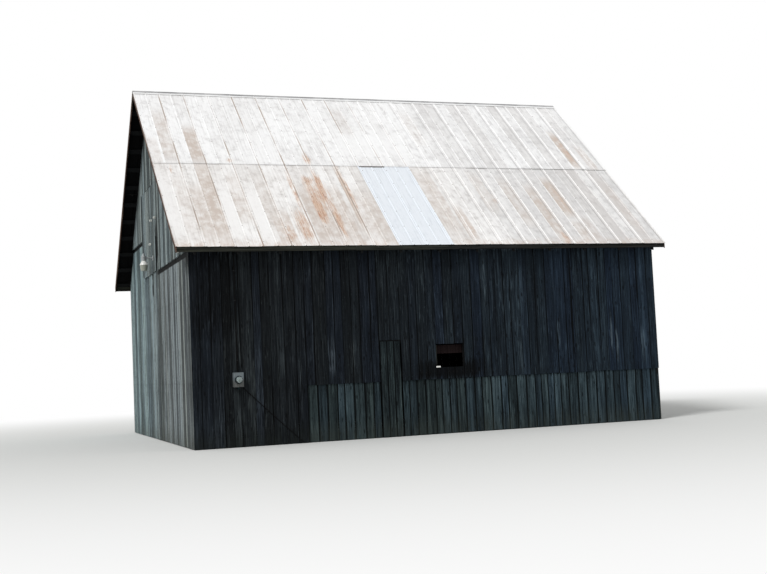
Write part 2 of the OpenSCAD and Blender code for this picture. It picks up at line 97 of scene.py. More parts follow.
class Socket:
    """A value inside a material, with operators that add Math nodes."""

    def __init__(self, paint: "Paint", link: bpy.types.NodeSocket) -> None:
        """Wrap an output of one of the paint's nodes."""
        self.paint = paint
        self.link = link

    def math(self, operation: str, *others: "Value") -> "Socket":
        """Add a Math node that starts from this value."""
        return self.paint.math(operation, self, *others)

    def __add__(self, other: "Value") -> "Socket":
        """Add two values."""
        return self.math("ADD", other)

    def __sub__(self, other: "Value") -> "Socket":
        """Take another value away."""
        return self.math("SUBTRACT", other)

    def __rsub__(self, other: "Value") -> "Socket":
        """Take this value away from another."""
        return self.paint.math("SUBTRACT", other, self)

    def __mul__(self, other: "Value") -> "Socket":
        """Multiply two values."""
        return self.math("MULTIPLY", other)

    def __truediv__(self, other: "Value") -> "Socket":
        """Divide by another value."""
        return self.math("DIVIDE", other)

    def __abs__(self) -> "Socket":
        """Drop the value's sign."""
        return self.math("ABSOLUTE")

    __radd__ = __add__
    __rmul__ = __mul__

    def most(self, other: "Value") -> "Socket":
        """Take the larger of two values."""
        return self.math("MAXIMUM", other)

    def least(self, other: "Value") -> "Socket":
        """Take the smaller of two values."""
        return self.math("MINIMUM", other)

    def rise(self, low: float, high: float) -> "Socket":
        """Go smoothly from 0 to 1 between two levels.

        Args:
            low: The level of 0.
            high: The level of 1, which may be the lower one.

        Returns:
            The result.
        """
        if low > high:
            return 1 - self.rise(high, low)
        settings = {"interpolation_type": "SMOOTHSTEP"}
        return self.paint.node("ShaderNodeMapRange", settings, {0: self, 1: low, 2: high})


Value = Socket | float | tuple


class Paint:
    """The nodes of a material or a world, in the making."""

    def __init__(self, name: str, store: str = "materials") -> None:
        """Start without nodes.

        Args:
            name: The name of the material or world.
            store: Where it is kept, materials or worlds.
        """
        self.owner = getattr(bpy.data, store).new(name)
        self.owner.use_nodes = True
        self.tree = self.owner.node_tree
        self.tree.nodes.clear()

    def node(
        self, kind: str, settings: dict | None = None, inputs: dict | None = None, out: int | str = 0
    ) -> Socket | None:
        """Add a node.

        Args:
            kind: The node's type.
            settings: What is set on the node itself.
            inputs: A value or a link for each socket, by index or name.
            out: The output that is wanted.

        Returns:
            The output, wrapped.
        """
        made = self.tree.nodes.new(kind)
        for key, value in (settings or {}).items():
            setattr(made, key, value)
        for key, value in (inputs or {}).items():
            socket = made.inputs[key]
            if isinstance(value, Socket):
                self.tree.links.new(value.link, socket)
            elif socket.type == "RGBA" and len(value) == 3:
                socket.default_value = (*value, 1.0)
            else:
                socket.default_value = value
        return Socket(self, made.outputs[out]) if made.outputs else None

    def math(self, operation: str, *values: Value) -> Socket:
        """Add a Math node on these values."""
        return self.node("ShaderNodeMath", {"operation": operation}, dict(enumerate(values)))

    def attribute(self, name: str, out: str = "Fac") -> Socket:
        """Read a number or a vector that the mesh carries."""
        return self.node("ShaderNodeAttribute", {"attribute_name": name}, out=out)

    def along_piece(self) -> tuple[Socket, Socket, Socket]:
        """Read the place along a board or sheet: across it, through it and along it."""
        return self.apart(self.attribute("grain", "Vector"))

    def place(self) -> tuple[Socket, Socket, Socket]:
        """Read the place on the barn."""
        return self.apart(self.node("ShaderNodeTexCoord", out="Object"))

    def apart(self, vector: Socket) -> tuple[Socket, Socket, Socket]:
        """Take a vector apart into its three numbers."""
        parts = self.node("ShaderNodeSeparateXYZ", inputs={0: vector}).link.node.outputs
        return tuple(Socket(self, part) for part in parts)

    def noise(self, x: Value, y: Value, z: Value, detail: float = 2.0, rough: float = 0.5) -> Socket:
        """Add noise whose grain is about one unit of the three numbers.

        Args:
            x: The first number.
            y: The second number.
            z: The third number.
            detail: How many finer layers the noise has.
            rough: How strong they are.

        Returns:
            The noise, 0 to 1 and mostly near a half.
        """
        vector = self.node("ShaderNodeCombineXYZ", inputs={0: x, 1: y, 2: z})
        inputs = {"Vector": vector, "Scale": 1.0, "Detail": detail, "Roughness": rough}
        return self.node("ShaderNodeTexNoise", inputs=inputs)

    def mix(self, share: Value, first: Value, second: Value, blend: str = "MIX") -> Socket:
        """Mix two colours."""
        settings = {"data_type": "RGBA", "blend_type": blend}
        return self.node("ShaderNodeMix", settings, {0: share, 6: first, 7: second}, 2)

    def tint(self, share: Value, colour: Value, tint: Value) -> Socket:
        """Multiply a colour by a tint, in this share."""
        return self.mix(share, colour, tint, "MULTIPLY")

    def finish(
        self, colour: Value, rough: Value, bump: Socket, depth: float, **more: Value
    ) -> bpy.types.Material:
        """Close the material with its shader.

        Args:
            colour: The surface's own colour.
            rough: How rough it is.
            bump: The relief, 0 to 1.
            depth: How high the relief stands, in metres.
            more: Other sockets of the shader, with _ for each space.

        Returns:
            The material.
        """
        inputs = {"Base Color": colour, "Roughness": rough}
        inputs.update({key.replace("_", " "): value for key, value in more.items()})
        inputs["Normal"] = self.node("ShaderNodeBump", inputs={"Height": bump, "Distance": depth})
        shader = self.node("ShaderNodeBsdfPrincipled", inputs=inputs)
        self.node("ShaderNodeOutputMaterial", inputs={0: shader})
        return self.owner


class Mark(Enum):
    """What has marked a place on the roof or on a wall, or where shade or light is painted on it."""

    RUST = "rust"
    BROWN = "brown"
    WHITE = "white"
    PALE = "pale"
    DARK = "dark"
    # Painted shadow, crisp-edged, under laps and in slits
    GAP = "gap"


@dataclass(frozen=True)
class Patch:
    """A marked place, by its middle along X, down a slope or up a wall, and its half sizes."""

    mark: Mark
    along: float
    level: float
    half_width: float
    half_length: float
    strength: float = 1.0

    @classmethod
    def rows(cls, places: dict[Mark, Sequence[tuple[float, ...]]]) -> tuple["Patch", ...]:
        """List patches by their mark, each with its numbers in the order of the fields."""
        return tuple(cls(mark, *row) for mark, rows in places.items() for row in rows)

    def reach(self, along: Socket, level: Socket) -> tuple[Socket, Socket]:
        """Measure how far off the middle a place is, in half sizes."""
        return abs(along - self.along) / self.half_width, abs(level - self.level) / self.half_length


@dataclass(frozen=True)
class BoardFinish:
    """Upright boards whose stain has weathered off in streaks."""

    name: str
    slot: str
    stain: Colour
    faded: Colour
    bare: Colour
    wear: float
    foot: Colour = srgb(70, 72, 62)
    nail_rows: tuple[float, ...] = ()
    contrast: float = 0.27
    joint: float = 0.2
    own_tone: float = 0.3
    far: Span = (20.0, 30.0)
    far_tint: Colour = (1.0, 1.0, 1.0)
    far_calm: float = 0.0
    board_tint: Colour = (0.95, 1.0, 1.06)
    joint_edge: Span = (0.84, 0.97)
    # Near-black of the painted shadows under laps and in slits
    hollow: Colour = srgb(9, 11, 12)
    patches: tuple[Patch, ...] = ()

    def material(self) -> bpy.types.Material:
        """Make the material from the boards' own grain, tone and edges, with painted shade and light where
        the patches put it.

        Returns:
            The material.
        """
        paint = Paint(self.name)
        across, through, up = paint.along_piece()
        tone = paint.attribute("tone")
        edge = abs(paint.attribute("across"))
        own = across + tone * 37.0
        fibres = paint.noise(own * 150, through * 90, up * 2.2 + tone * 11, 4, 0.6)
        streaks = paint.noise(own * 26, through * 24, up * 0.7 + tone * 5, 3, 0.62)
        bands = paint.noise(own * 8, through * 24, up * 0.4 + tone * 3)
        dashes = paint.noise(own * 40, through * 24, up * 3.2 + tone * 9)
        hairs = paint.noise(own * 85, through * 24, up * 1.1 + tone * 4)
        weather = paint.noise(across * 0.9, 3.1, up * 0.6, 3, 0.55)
        flecks = paint.noise(own * 70, through * 30, up * 16)
        cracks = abs(paint.noise(own * 30, through * 10, up * 0.9) - 0.5).rise(0.012, 0.003)
        knots = self.knots(paint, own, up + tone * 7)
        pale, kept_or_shaded, gap = self.marks(across, up, streaks, dashes)
        fresh = fibres * 0.6 + streaks * 0.6 + bands * 0.65 + weather * 0.4 + (tone - 0.5) * self.own_tone
        # PALE patches show bare wood, and one paints light along the top of the front wall
        fresh = fresh + pale * (dashes.rise(0.36, 0.6) * 0.75 + fibres * 0.4 - 0.05)
        # DARK patches keep the stain darker in places and are painted shade at laps, corners and slots in
        # others
        fresh = fresh - kept_or_shaded * 0.5 + self.wear - 1.425
        worn = fresh.rise(-self.contrast * 0.5, self.contrast * 1.5)
        worn = worn + flecks.rise(0.6, 0.75) * 0.22 + dashes.rise(0.58, 0.72) * weather.rise(0.42, 0.6) * 0.4
        worn = worn + hairs.rise(0.53, 0.66) * (0.12 + weather * 0.34)
        aged = streaks.rise(0.35, 0.68) * 0.35 + bands.rise(0.3, 0.7) * 0.35 + tone * self.own_tone
        colour = paint.mix(aged * (1 - kept_or_shaded), self.stain, self.faded)
        side = across.rise(*self.far)
        worn = worn.least(1.0) * (1 - side * (1 - pale) * self.far_calm) * 0.85
        colour = paint.mix(worn, colour, self.bare)
        colour = paint.tint(side * (1 - pale * 0.7), colour, self.far_tint)
        own_hue = (tone * 7.3).math("FRACT").rise(0.3, 0.9)
        colour = paint.tint(own_hue * (1 - pale * 0.8), colour, self.board_tint)
        open_joint = paint.noise(across * 3.1, 7.0, up * 0.4).rise(0.4, 0.6) + self.joint
        lines = fibres.rise(0.56, 0.36) * 0.4 + knots * 0.6
        lines = lines + edge.rise(*self.joint_edge) * open_joint.least(1.0) * 0.95
        lines = lines + cracks * 0.8 + self.rust_runs(paint, up, fibres) * 0.5 + kept_or_shaded * 0.7
        colour = paint.mix(lines.least(0.94), colour, scaled(self.stain, 0.25))
        splash = up.rise(0.55, 0.02) * streaks.rise(0.3, 0.65) * 0.55
        # Painted shadow: near-black under the laps of upper boards and in slits
        colour = paint.mix(gap, paint.mix(splash, colour, self.foot), self.hollow)
        relief = fibres * 0.55 + streaks * 0.3 - cracks * 0.8 - knots * 0.2
        return paint.finish(colour, 0.95 - fibres * 0.25, relief, 0.004, Specular_IOR_Level=0.08)

    def marks(
        self, across: Socket, up: Socket, streaks: Socket, dashes: Socket
    ) -> tuple[Socket, Socket, Socket]:
        """Draw the named patches.

        Args:
            across: The place along the wall.
            up: The height.
            streaks: Noise that frays the sides.
            dashes: Noise that frays the ends.

        Returns:
            Where bare wood shows or light is painted, where the stain stays or shade is painted, and painted
            shadows.
        """
        masks = {mark: streaks * 0.0 for mark in (Mark.PALE, Mark.DARK, Mark.GAP)}
        for patch in self.patches:
            side, end = patch.reach(across, up)
            if patch.mark is Mark.GAP:
                inside = side.rise(1.1, 0.9) * (end + (dashes - 0.5) * 0.4).rise(1.2, 0.8)
            else:
                inside = (side + (streaks - 0.5) * 1.2).rise(1.1, 0.5)
                inside = inside * (end + (dashes - 0.5) * 1.6).rise(1.1, 0.5)
            masks[patch.mark] = masks[patch.mark].most(inside * patch.strength)
        return tuple(masks.values())

    def knots(self, paint: Paint, across: Socket, up: Socket) -> Socket:
        """Put a few dark knots in the boards.

        Args:
            paint: The material's nodes.
            across: The place across the boards, its own for each.
            up: The height, its own for each board.

        Returns:
            Where the knots are.
        """
        spots = paint.node("ShaderNodeCombineXYZ", inputs={0: across * 7, 1: up * 2.2})
        flat, cells = {"voronoi_dimensions": "2D"}, {"Vector": spots, "Scale": 1.0}
        near = paint.node("ShaderNodeTexVoronoi", flat, cells)
        chance = paint.node("ShaderNodeTexVoronoi", flat, cells, "Color")
        return near.rise(0.14, 0.07) * paint.apart(chance)[0].rise(0.7, 0.72)

    def rust_runs(self, paint: Paint, up: Socket, fibres: Socket) -> Socket:
        """Let a dark run hang under each row of nails.

        Args:
            paint: The material's nodes.
            up: The height.
            fibres: Noise that frays the runs.

        Returns:
            Where the runs are.
        """
        runs = fibres * 0.0
        for row in self.nail_rows:
            runs = runs.most((row - up).rise(0.35, 0.0) * (row - up).rise(-0.01, 0.0))
        side = abs(abs(paint.attribute("across")) - 0.56).rise(0.09, 0.02)
        return runs * side * fibres.rise(0.35, 0.6)


@dataclass(frozen=True)
class TinFinish:
    """Crimped roof sheets of zinc that has gone white, brown and rusty in strips."""

    name: str
    slot: str
    clean: Colour
    dull: Colour
    dirt: float
    patches: tuple[Patch, ...] = ()
    strips: float = 0.3
    blotch: float = 0.4
    eave: float = 6.79
    eave_rust: float = 0.0
    lap_dirt: Span = (1.5, -2.0)
    lap_share: Span = (0.14, 0.8)
    course_end: float = 3.463
    # Strength of the painted shadow just below the upper course's lower edge
    course_dirt: float = 0.0
    grey: Span = (0.0, 2.5)
    grey_dirt: float = 0.0
    grey_dull: Colour = srgb(212, 211, 211)
    brown: Colour = srgb(203, 190, 180)
    rust: Colour = srgb(220, 192, 168)
    deep_rust: Colour = srgb(176, 122, 90)
    grime: Colour = srgb(172, 158, 147)
    shade: Colour = srgb(206, 200, 196)
    metal: float = 0.2
    cover: float = 0.61
    crimp_gap: float = 0.048

    def material(self) -> bpy.types.Material:
        """Make the material from the sheets' own place, strips, crimps and laps, with painted shade and
        highlight at the crimps and under the upper course.

        Returns:
            The material.
        """
        paint = Paint(self.name)
        across, through, down = paint.along_piece()
        tone, crest, over = (paint.attribute(name) for name in ("tone", "crest", "over"))
        lap = self.beside(over, 0.0).rise(0.02, 0.009)
        runs = paint.noise(across * 22, through * 8, down * 0.9, 4, 0.65)
        streak = paint.noise(across * 52, through * 8, down * 2.4, 3, 0.6)
        fine = paint.noise(across * 75, through * 40, down * 9.0, 3, 0.6)
        mottle = paint.noise(across * 6, 2.0, down * 4.5, 5, 0.62)
        clouds = paint.noise(across * 0.9, 4.0, down * 0.8, 3, 0.55)
        slow = paint.noise(across * 1.7, 6.0, down * 0.8)
        masks = {mark: fine * 0.0 for mark in Mark}
        for patch in self.patches:
            masks[patch.mark] = masks[patch.mark].most(self.draw(patch, across, down, runs, mottle))
        spread = clouds * 0.9 + mottle * 0.9 + runs * 0.7 + (tone - 0.5) * self.strips
        far = across.rise(*self.grey)
        dirty = (spread + self.dirt + far * self.grey_dirt - 1.25).rise(-0.25, 0.6)
        dirty = dirty * (1 - masks[Mark.WHITE] * 0.85)
        colour = paint.mix(dirty, self.clean, paint.mix(far, self.dull, self.grey_dull))
        colour = paint.mix(tone.rise(0.35, 0.95) * (far * 0.4 + 0.1) * self.strips * 3, colour, self.shade)
        stains = mottle.rise(0.5, 0.72) * self.blotch + runs.rise(0.53, 0.7) * 0.34
        stains = stains + streak.rise(0.54, 0.72) * 0.26
        colour = paint.mix(stains * (1 - masks[Mark.WHITE] * 0.8), colour, scaled(self.dull, 0.72))
        brown = masks[Mark.BROWN] * (0.12 + mottle.rise(0.3, 0.7) * 0.8 + runs * 0.6)
        colour = paint.mix(brown.least(1.0), colour, self.brown)
        colour = paint.mix(fine.rise(0.58, 0.8) * 0.2, colour, scaled(self.dull, 0.5))
        edge = (self.eave - down).rise(0.35, 0.0) * (mottle + runs).rise(0.8, 1.2) * self.eave_rust
        ragged = masks[Mark.RUST] + (streak - 0.5) * 2.4 + (mottle - 0.5) * 1.7 - 0.32
        rusty = (ragged.rise(-0.15, 0.85) * masks[Mark.RUST].rise(0.0, 0.55)).most(edge)
        deep = (fine * 0.45 + streak * 0.55).rise(0.44, 0.6)
        colour = paint.mix(rusty * 0.85, colour, paint.mix(deep * rusty, self.rust, self.deep_rust))
        # Painted shadow: a darker line beside the crimps at each side lap, strongest towards the right
        crimp_shadow = self.beside(over, -self.crimp_gap).rise(0.034, 0.012)
        crimp_shadow = crimp_shadow * (1 - rusty) * (far * 0.35 + 0.05)
        colour = paint.mix(crimp_shadow, colour, scaled(self.dull, 0.5))
        # Painted highlight on the crimps at the side laps and on every crest, with cleaner zinc there too
        crimp_highlight = self.beside(over, self.crimp_gap / 2).rise(0.024, 0.01).most(crest * 0.4)
        colour = paint.mix(crimp_highlight * (1 - rusty) * (far * 0.4 + 0.55), colour, self.clean)
        least, more = self.lap_share
        grime = lap * across.rise(*self.lap_dirt) * (slow.rise(0.4, 0.62) * more + least)
        colour = paint.mix(grime, colour, paint.mix(runs.rise(0.5, 0.7) * 0.4, self.grime, self.deep_rust))
        # Painted shadow: a dark line just below the upper course's lower edge, and the DARK patches
        course_shadow_line = abs(down - self.course_end - 0.01 + (fine - 0.5) * 0.012).rise(0.014, 0.005)
        course_shadow_line = course_shadow_line * (0.3 + slow.rise(0.42, 0.58) * 0.6) * (far * 1.3 + 1) * self.course_dirt
        colour = paint.mix(course_shadow_line.most(masks[Mark.DARK]), colour, scaled(self.grime, 0.18))
        relief = fine * 0.25 + clouds * 0.4 + mottle * 0.5
        rough = dirty * 0.2 + rusty * 0.25 + 0.46
        return paint.finish(colour, rough, relief, 0.002, Metallic=(1 - rusty) * self.metal)

    def beside(self, over: Socket, offset: float) -> Socket:
        """Measure how far a place is from the line at this offset from the nearest side lap."""
        return abs(abs(over - (self.cover / 2 + offset)) - self.cover / 2)

    def draw(self, patch: Patch, across: Socket, down: Socket, runs: Socket, mottle: Socket) -> Socket:
        """Draw one patch: a strip keeps its sides, and rust fades out for its streaks to break up.

        Args:
            patch: The patch.
            across: The place along the ridge.
            down: The place down the slope.
            runs: Noise in long runs.
            mottle: Noise in spots.

        Returns:
            Where the patch is.
        """
        side, end = patch.reach(across, down)
        if patch.mark is Mark.RUST:
            reach = (side * side + end * end).math("SQRT") + (runs - 0.5) * 1.2 + (mottle - 0.5) * 0.8
            return reach.rise(1.35, 0.2) * patch.strength
        inside = (side + (runs - 0.5) * 0.1).rise(1.04, 0.94)
        return inside * (end + (mottle - 0.5) * 0.6).rise(1.0, 0.4) * patch.strength


class Axis(Enum):
    """The way that the grain of a timber runs, as shares of X, Y and Z."""

    ALONG = (1.0, 0.0, 0.0)
    ACROSS = (0.0, 1.0, 0.0)
    UP = (0.0, 0.0, 1.0)
    SLOPE = (0.0, 0.7, 0.7)


@dataclass(frozen=True)
class TimberFinish:
    """Sawn or hewn frame timber, gone grey-brown inside."""

    name: str
    axis: Axis
    slot: str = "frame_timber"
    dark: Colour = srgb(60, 50, 41)
    light: Colour = srgb(116, 100, 80)
    # Near-black outside the walls: black stain, deepened as painted shade under the eaves and overhangs
    outdoors: Colour = srgb(9, 10, 11)
    ends: Span = (-5.13, 5.31)
    sides: float = 4.64
    border: float = 0.03

    def material(self) -> bpy.types.Material:
        """Make the material with its grain along the timbers, blackened outside the walls by stain and
        painted shade.

        Returns:
            The material.
        """
        paint = Paint(self.name)
        x, y, z = paint.place()
        stretch = [30.0 - 28.5 * share for share in self.axis.value]
        place = [part * scale for part, scale in zip((x, y, z), stretch)]
        fibres = paint.noise(*place, 4, 0.62)
        blotch = paint.noise(*(part * 0.06 for part in place), 3, 0.6)
        marks = paint.noise(*(part * 4 for part in place))
        colour = paint.mix(fibres * 0.8 + blotch * 0.7 - 0.25, self.dark, self.light)
        colour = paint.mix(marks.rise(0.6, 0.75) * 0.5, colour, scaled(self.dark, 0.4))
        left, right = self.ends
        out = abs(y).rise(self.sides, self.sides + self.border)
        out = out.most(x.rise(left, left - self.border)).most(x.rise(right, right + self.border))
        colour = paint.mix(out, colour, paint.mix(fibres, self.outdoors, scaled(self.outdoors, 1.8)))
        relief = fibres * 0.6 + marks * 0.4
        return paint.finish(colour, 0.9 - fibres * 0.2, relief, 0.003, Specular_IOR_Level=0.15)


@dataclass(frozen=True)
class CoatFinish:
    """Paint, plastic, glaze or rubber with dirt and small wear."""

    name: str
    slot: str
    coat: Colour
    dirt: Colour
    rough: float
    metal: float = 0.0
    amount: float = 0.5
    shine: float = 0.5
    dirty_below: Span = (-1.0, -2.0)

    def material(self) -> bpy.types.Material:
        """Make the material from runs of dirt and fine specks.

        Returns:
            The material.
        """
        paint = Paint(self.name)
        x, y, z = paint.place()
        runs = paint.noise(x * 60, y * 60, z * 9, 4, 0.6)
        specks = paint.noise(x * 260, y * 260, z * 260)
        dirt = (runs.rise(0.45, 0.75) + specks.rise(0.6, 0.75) * 0.5) * self.amount
        dirt = (dirt + z.rise(*self.dirty_below) * 0.7).least(1.0)
        colour = paint.mix(dirt, self.coat, self.dirt)
        more = {"Metallic": self.metal, "Specular_IOR_Level": self.shine}
        return paint.finish(colour, dirt * 0.3 + self.rough, runs * 0.6 + specks * 0.4, 0.0006, **more)


@dataclass(frozen=True)
class GlassFinish:
    """Clear glass with a film of dust."""

    name: str
    slot: str
    tint: Colour
    dust: Colour = srgb(150, 150, 142)

    def material(self) -> bpy.types.Material:
        """Make the glass.

        Returns:
            The material.
        """
        paint = Paint(self.name)
        x, y, z = paint.place()
        dust = paint.noise(x * 40, y * 40, z * 12, 3).rise(0.45, 0.8)
        colour = paint.mix(dust * 0.5, self.tint, self.dust)
        more = {"Transmission_Weight": 0.85, "IOR": 1.48, "Coat_Weight": 0.15, "Coat_Roughness": 0.03}
        return paint.finish(colour, dust * 0.25 + 0.04, dust, 0.0003, **more)


Finish = BoardFinish | TinFinish | TimberFinish | CoatFinish | GlassFinish
LOW_NAILS = (1.13,)
WALL_NAILS = (1.35, 2.07, 3.145)
FRONT_MARKS = Patch.rows({
    Mark.PALE: (
        (-3.12, 1.4, 0.06, 1.3, 0.39), (-3.27, 2.9, 0.06, 0.8, 0.28), (-3.62, 2.2, 0.08, 1.2, 0.19),
        (-4.4, 1.9, 0.1, 1.0, 0.17), (-2.42, 1.75, 0.1, 0.55, 0.39), (-1.98, 1.7, 0.09, 0.5, 0.33),
        (-0.98, 3.6, 0.08, 0.3, 0.22), (-0.72, 1.85, 0.08, 0.4, 0.33), (0.92, 1.95, 0.06, 0.2, 0.39),
        (1.12, 1.9, 0.06, 0.25, 0.33), (1.2, 3.25, 0.03, 0.7, 0.33), (1.5, 1.9, 0.07, 0.45, 0.25),
        (2.0, 1.65, 0.1, 0.4, 0.28), (2.98, 2.1, 0.07, 0.4, 0.4), (4.36, 2.05, 0.03, 0.6, 0.75),
        # The patch at height 4.12 below is painted light along the wall's top, lifting the eave's shade
        (4.5, 1.8, 0.03, 0.45, 0.8), (5.19, 1.8, 0.07, 0.45, 0.4), (0.9, 4.12, 3.2, 0.16, 0.5),
        (-4.2, 1.0, 1.2, 1.3, 0.16)),
    Mark.DARK: ((0.3, 1.4, 0.95, 0.22, 0.9), (3.36, 2.7, 0.03, 1.4), (-4.9, 3.2, 0.5, 1.0, 0.6)),
})
UPPER_MARKS = Patch.rows({
    Mark.BROWN: (
        (-5.345, 2.2, 0.15, 1.6, 0.55), (-5.66, 2.9, 0.12, 0.8, 0.4), (-4.728, 2.6, 0.15, 1.1),
        (-0.75, 1.3, 0.15, 0.9, 0.25), (1.07, 1.5, 0.15, 1.2, 0.25), (5.03, 2.5, 0.11, 1.2, 1.2),
        (5.5, 2.9, 0.12, 0.8, 0.45)),
    Mark.RUST: (
        (-2.76, 0.9, 0.08, 0.5, 0.3), (5.05, 2.4, 0.14, 0.9, 0.5), (-2.14, 3.2, 0.12, 0.4, 0.8),
        (-4.0, 3.3, 0.12, 0.14, 0.6), (-2.55, 0.5, 0.16, 0.35, 0.2), (5.02, 2.8, 0.08, 0.6, 0.5)),
    Mark.WHITE: ((-0.3, 2.4, 0.9, 0.9, 0.7), (-3.1, 2.6, 0.3, 1.0, 0.6)),
})
LOWER_MARKS = Patch.rows({
    Mark.BROWN: (
        (-4.728, 5.0, 0.15, 2.3, 0.95), (-5.03, 5.5, 0.15, 1.5, 0.75), (-3.35, 6.1, 0.2, 0.9, 0.7),
        (-4.12, 5.2, 0.15, 0.9, 0.5), (-1.25, 5.6, 0.32, 1.4, 0.55), (-2.2, 5.6, 0.5, 1.6, 0.75),
        (-1.55, 4.9, 0.05, 1.7, 1.3), (0.55, 5.0, 0.24, 1.8, 0.5), (0.95, 5.9, 0.12, 0.9, 0.7),
        (1.9, 4.6, 0.15, 1.2, 0.35), (2.59, 5.0, 0.15, 1.4, 0.55), (3.2, 5.4, 0.15, 1.5, 0.8),
        (3.81, 4.8, 0.15, 1.1, 1.2), (3.81, 6.3, 0.15, 0.6, 0.6), (4.1, 6.2, 0.12, 0.7, 0.4),
        (5.4, 5.2, 0.14, 1.6, 0.35), (-2.95, 6.0, 0.15, 0.8, 0.5), (-5.34, 5.2, 0.14, 1.7, 0.35),
        (-4.1, 4.6, 0.15, 1.0, 0.4), (-3.5, 5.2, 0.15, 1.6, 0.35), (-1.7, 5.8, 0.2, 1.1, 0.4)),
    Mark.RUST: (
        (-5.42, 3.65, 0.06, 0.3, 0.5), (-3.3, 6.35, 0.2, 0.6, 0.6), (-2.78, 4.5, 0.09, 1.0, 0.75),
        (3.88, 4.8, 0.1, 0.8, 0.45), (0.98, 6.1, 0.16, 0.7, 0.4), (-2.25, 4.7, 0.34, 1.1, 0.75),
        (-2.13, 4.4, 0.12, 0.8, 1.25), (-2.06, 5.7, 0.11, 1.0, 0.95), (-2.38, 4.3, 0.16, 0.5),
        (-2.38, 5.3, 0.14, 0.8, 1.2), (-2.9, 6.05, 0.18, 0.9, 0.85), (-1.5, 4.5, 0.09, 1.3, 0.85),
        (3.22, 6.55, 0.16, 0.35, 0.7), (2.06, 4.9, 0.08, 0.4, 0.5)),
    Mark.WHITE: ((-4.4, 5.6, 0.13, 1.4), (-3.78, 5.6, 0.13, 1.4), (-5.6, 5.2, 0.18, 1.8, 0.8)),
})
TAR = BoardFinish(
    "dark_boards", "dark_boards", srgb(11, 13, 15), srgb(29, 34, 38), srgb(80, 87, 89), 0.06,
    foot=srgb(40, 42, 36), nail_rows=WALL_NAILS)
FRONT = replace(
    TAR, name="front_boards", wear=0.02, foot=srgb(34, 38, 34), far=(-4.0, 5.5),
    far_tint=(1.45, 1.88, 2.3), far_calm=0.4, board_tint=(0.92, 0.98, 1.17), patches=FRONT_MARKS)
SKIRT = BoardFinish(
    "skirt_boards", "skirt_boards", srgb(21, 28, 30), srgb(52, 64, 67), srgb(90, 106, 107), 0.25,
    foot=srgb(56, 62, 58), nail_rows=(*LOW_NAILS, 0.18), joint=1.0, own_tone=0.14,
    far=(-1.0, 5.0), far_tint=(1.01, 1.09, 1.25), board_tint=(0.94, 1.0, 1.14), joint_edge=(0.78, 0.93),
    # The DARK patch along the skirt's top is painted shadow under the upper boards' ends
    patches=Patch.rows({Mark.DARK: ((1.3, 1.26, 4.4, 0.07),)}))
PANEL = replace(
    SKIRT, name="panel_boards", stain=srgb(15, 20, 23), faded=srgb(40, 50, 54), wear=0.2, patches=())
GREY = BoardFinish(
    "grey_boards", "grey_boards", srgb(46, 50, 49), srgb(100, 106, 104), srgb(156, 163, 159), 0.34,
    nail_rows=LOW_NAILS + WALL_NAILS, contrast=0.2, joint=0.5, own_tone=0.4)
WEST = replace(
    GREY, name="left_boards", stain=srgb(46, 50, 50), faded=srgb(99, 105, 105), bare=srgb(154, 162, 160),
    contrast=0.15, joint=0.75, own_tone=0.5, far=(-2.0, 3.0), far_tint=(1.13, 1.33, 1.39),
    board_tint=(0.95, 0.98, 1.05), patches=Patch.rows({
        # Painted shade: the first patch is the eave's shadow at the wall's front corner, and the three after
        # it are shadows under the laps of the upper boards and in the crack
        Mark.DARK: ((-4.9, 4.1, 0.5, 0.5, 0.9),),
        Mark.GAP: ((-2.6, 4.02, 2.1, 0.055), (3.3, 5.025, 1.5, 0.05), (0.36, 3.82, 0.075, 0.3))}))
PALE = BoardFinish(
    "gable_boards", "grey_boards", srgb(42, 47, 48), srgb(100, 110, 110), srgb(158, 169, 168), 0.34,
    nail_rows=(4.23, 5.21, 6.37), contrast=0.2, joint=0.5, own_tone=0.45)
WEST_GABLE = replace(
    PALE, name="left_gable_boards", own_tone=0.7, joint=0.95, patches=Patch.rows({
        # Painted shade: the first patch darkens the boards round the slot in front of the loft panel, and the
        # second is a shadow line at the panel's back edge
        Mark.DARK: ((-0.68, 4.75, 0.22, 0.6, 0.9),),
        Mark.GAP: ((1.88, 5.15, 0.05, 1.0, 0.8),),
        Mark.PALE: (
            (-2.07, 5.2, 0.11, 1.3, 0.5), (-2.74, 5.0, 0.11, 1.1, 0.5), (-3.24, 4.8, 0.1, 0.9, 0.45))}))
FASCIA = BoardFinish(
    "fascia_board", "faded_trim", srgb(24, 25, 24), srgb(42, 42, 40), srgb(62, 60, 56), 0.0)
RAKE = BoardFinish(
    "rake_board", "faded_trim", srgb(66, 44, 36), srgb(112, 84, 70), srgb(146, 128, 114), 0.3)
BARE = BoardFinish(
    "bare_board", "frame_timber", srgb(24, 25, 24), srgb(38, 40, 38), srgb(56, 56, 52), 0.3)
INNER = replace(
    BARE, name="inner_board", stain=srgb(20, 12, 13), faded=srgb(33, 22, 21), bare=srgb(38, 28, 27))
WHITE_TIN = TinFinish(
    "white_tin", "old_tin", srgb(252, 252, 252), srgb(220, 218, 217), 0.0, UPPER_MARKS, grey_dirt=0.1,
    strips=0.15)
BROWN_TIN = TinFinish(
    "brown_tin", "old_tin", srgb(250, 249, 248), srgb(212, 207, 203), 0.06, LOWER_MARKS, eave_rust=0.4,
    course_dirt=0.45, grey_dirt=0.28)
BACK_TIN = TinFinish(
    "back_tin", "old_tin", srgb(242, 240, 237), srgb(204, 197, 190), 0.15, strips=0.45, eave_rust=0.5,
    course_dirt=0.8)
NEW_TIN = TinFinish(
    "new_tin", "new_tin", srgb(234, 239, 245), srgb(214, 221, 229), -0.2,
    # Its DARK patch is painted shadow under the upper sheet's edge, where the new sheets lift it
    Patch.rows({Mark.DARK: ((-0.6, 3.478, 0.32, 0.04),)}), strips=0.03, metal=0.3, blotch=0.08,
    lap_dirt=(-8.0, -9.0), course_dirt=0.5)
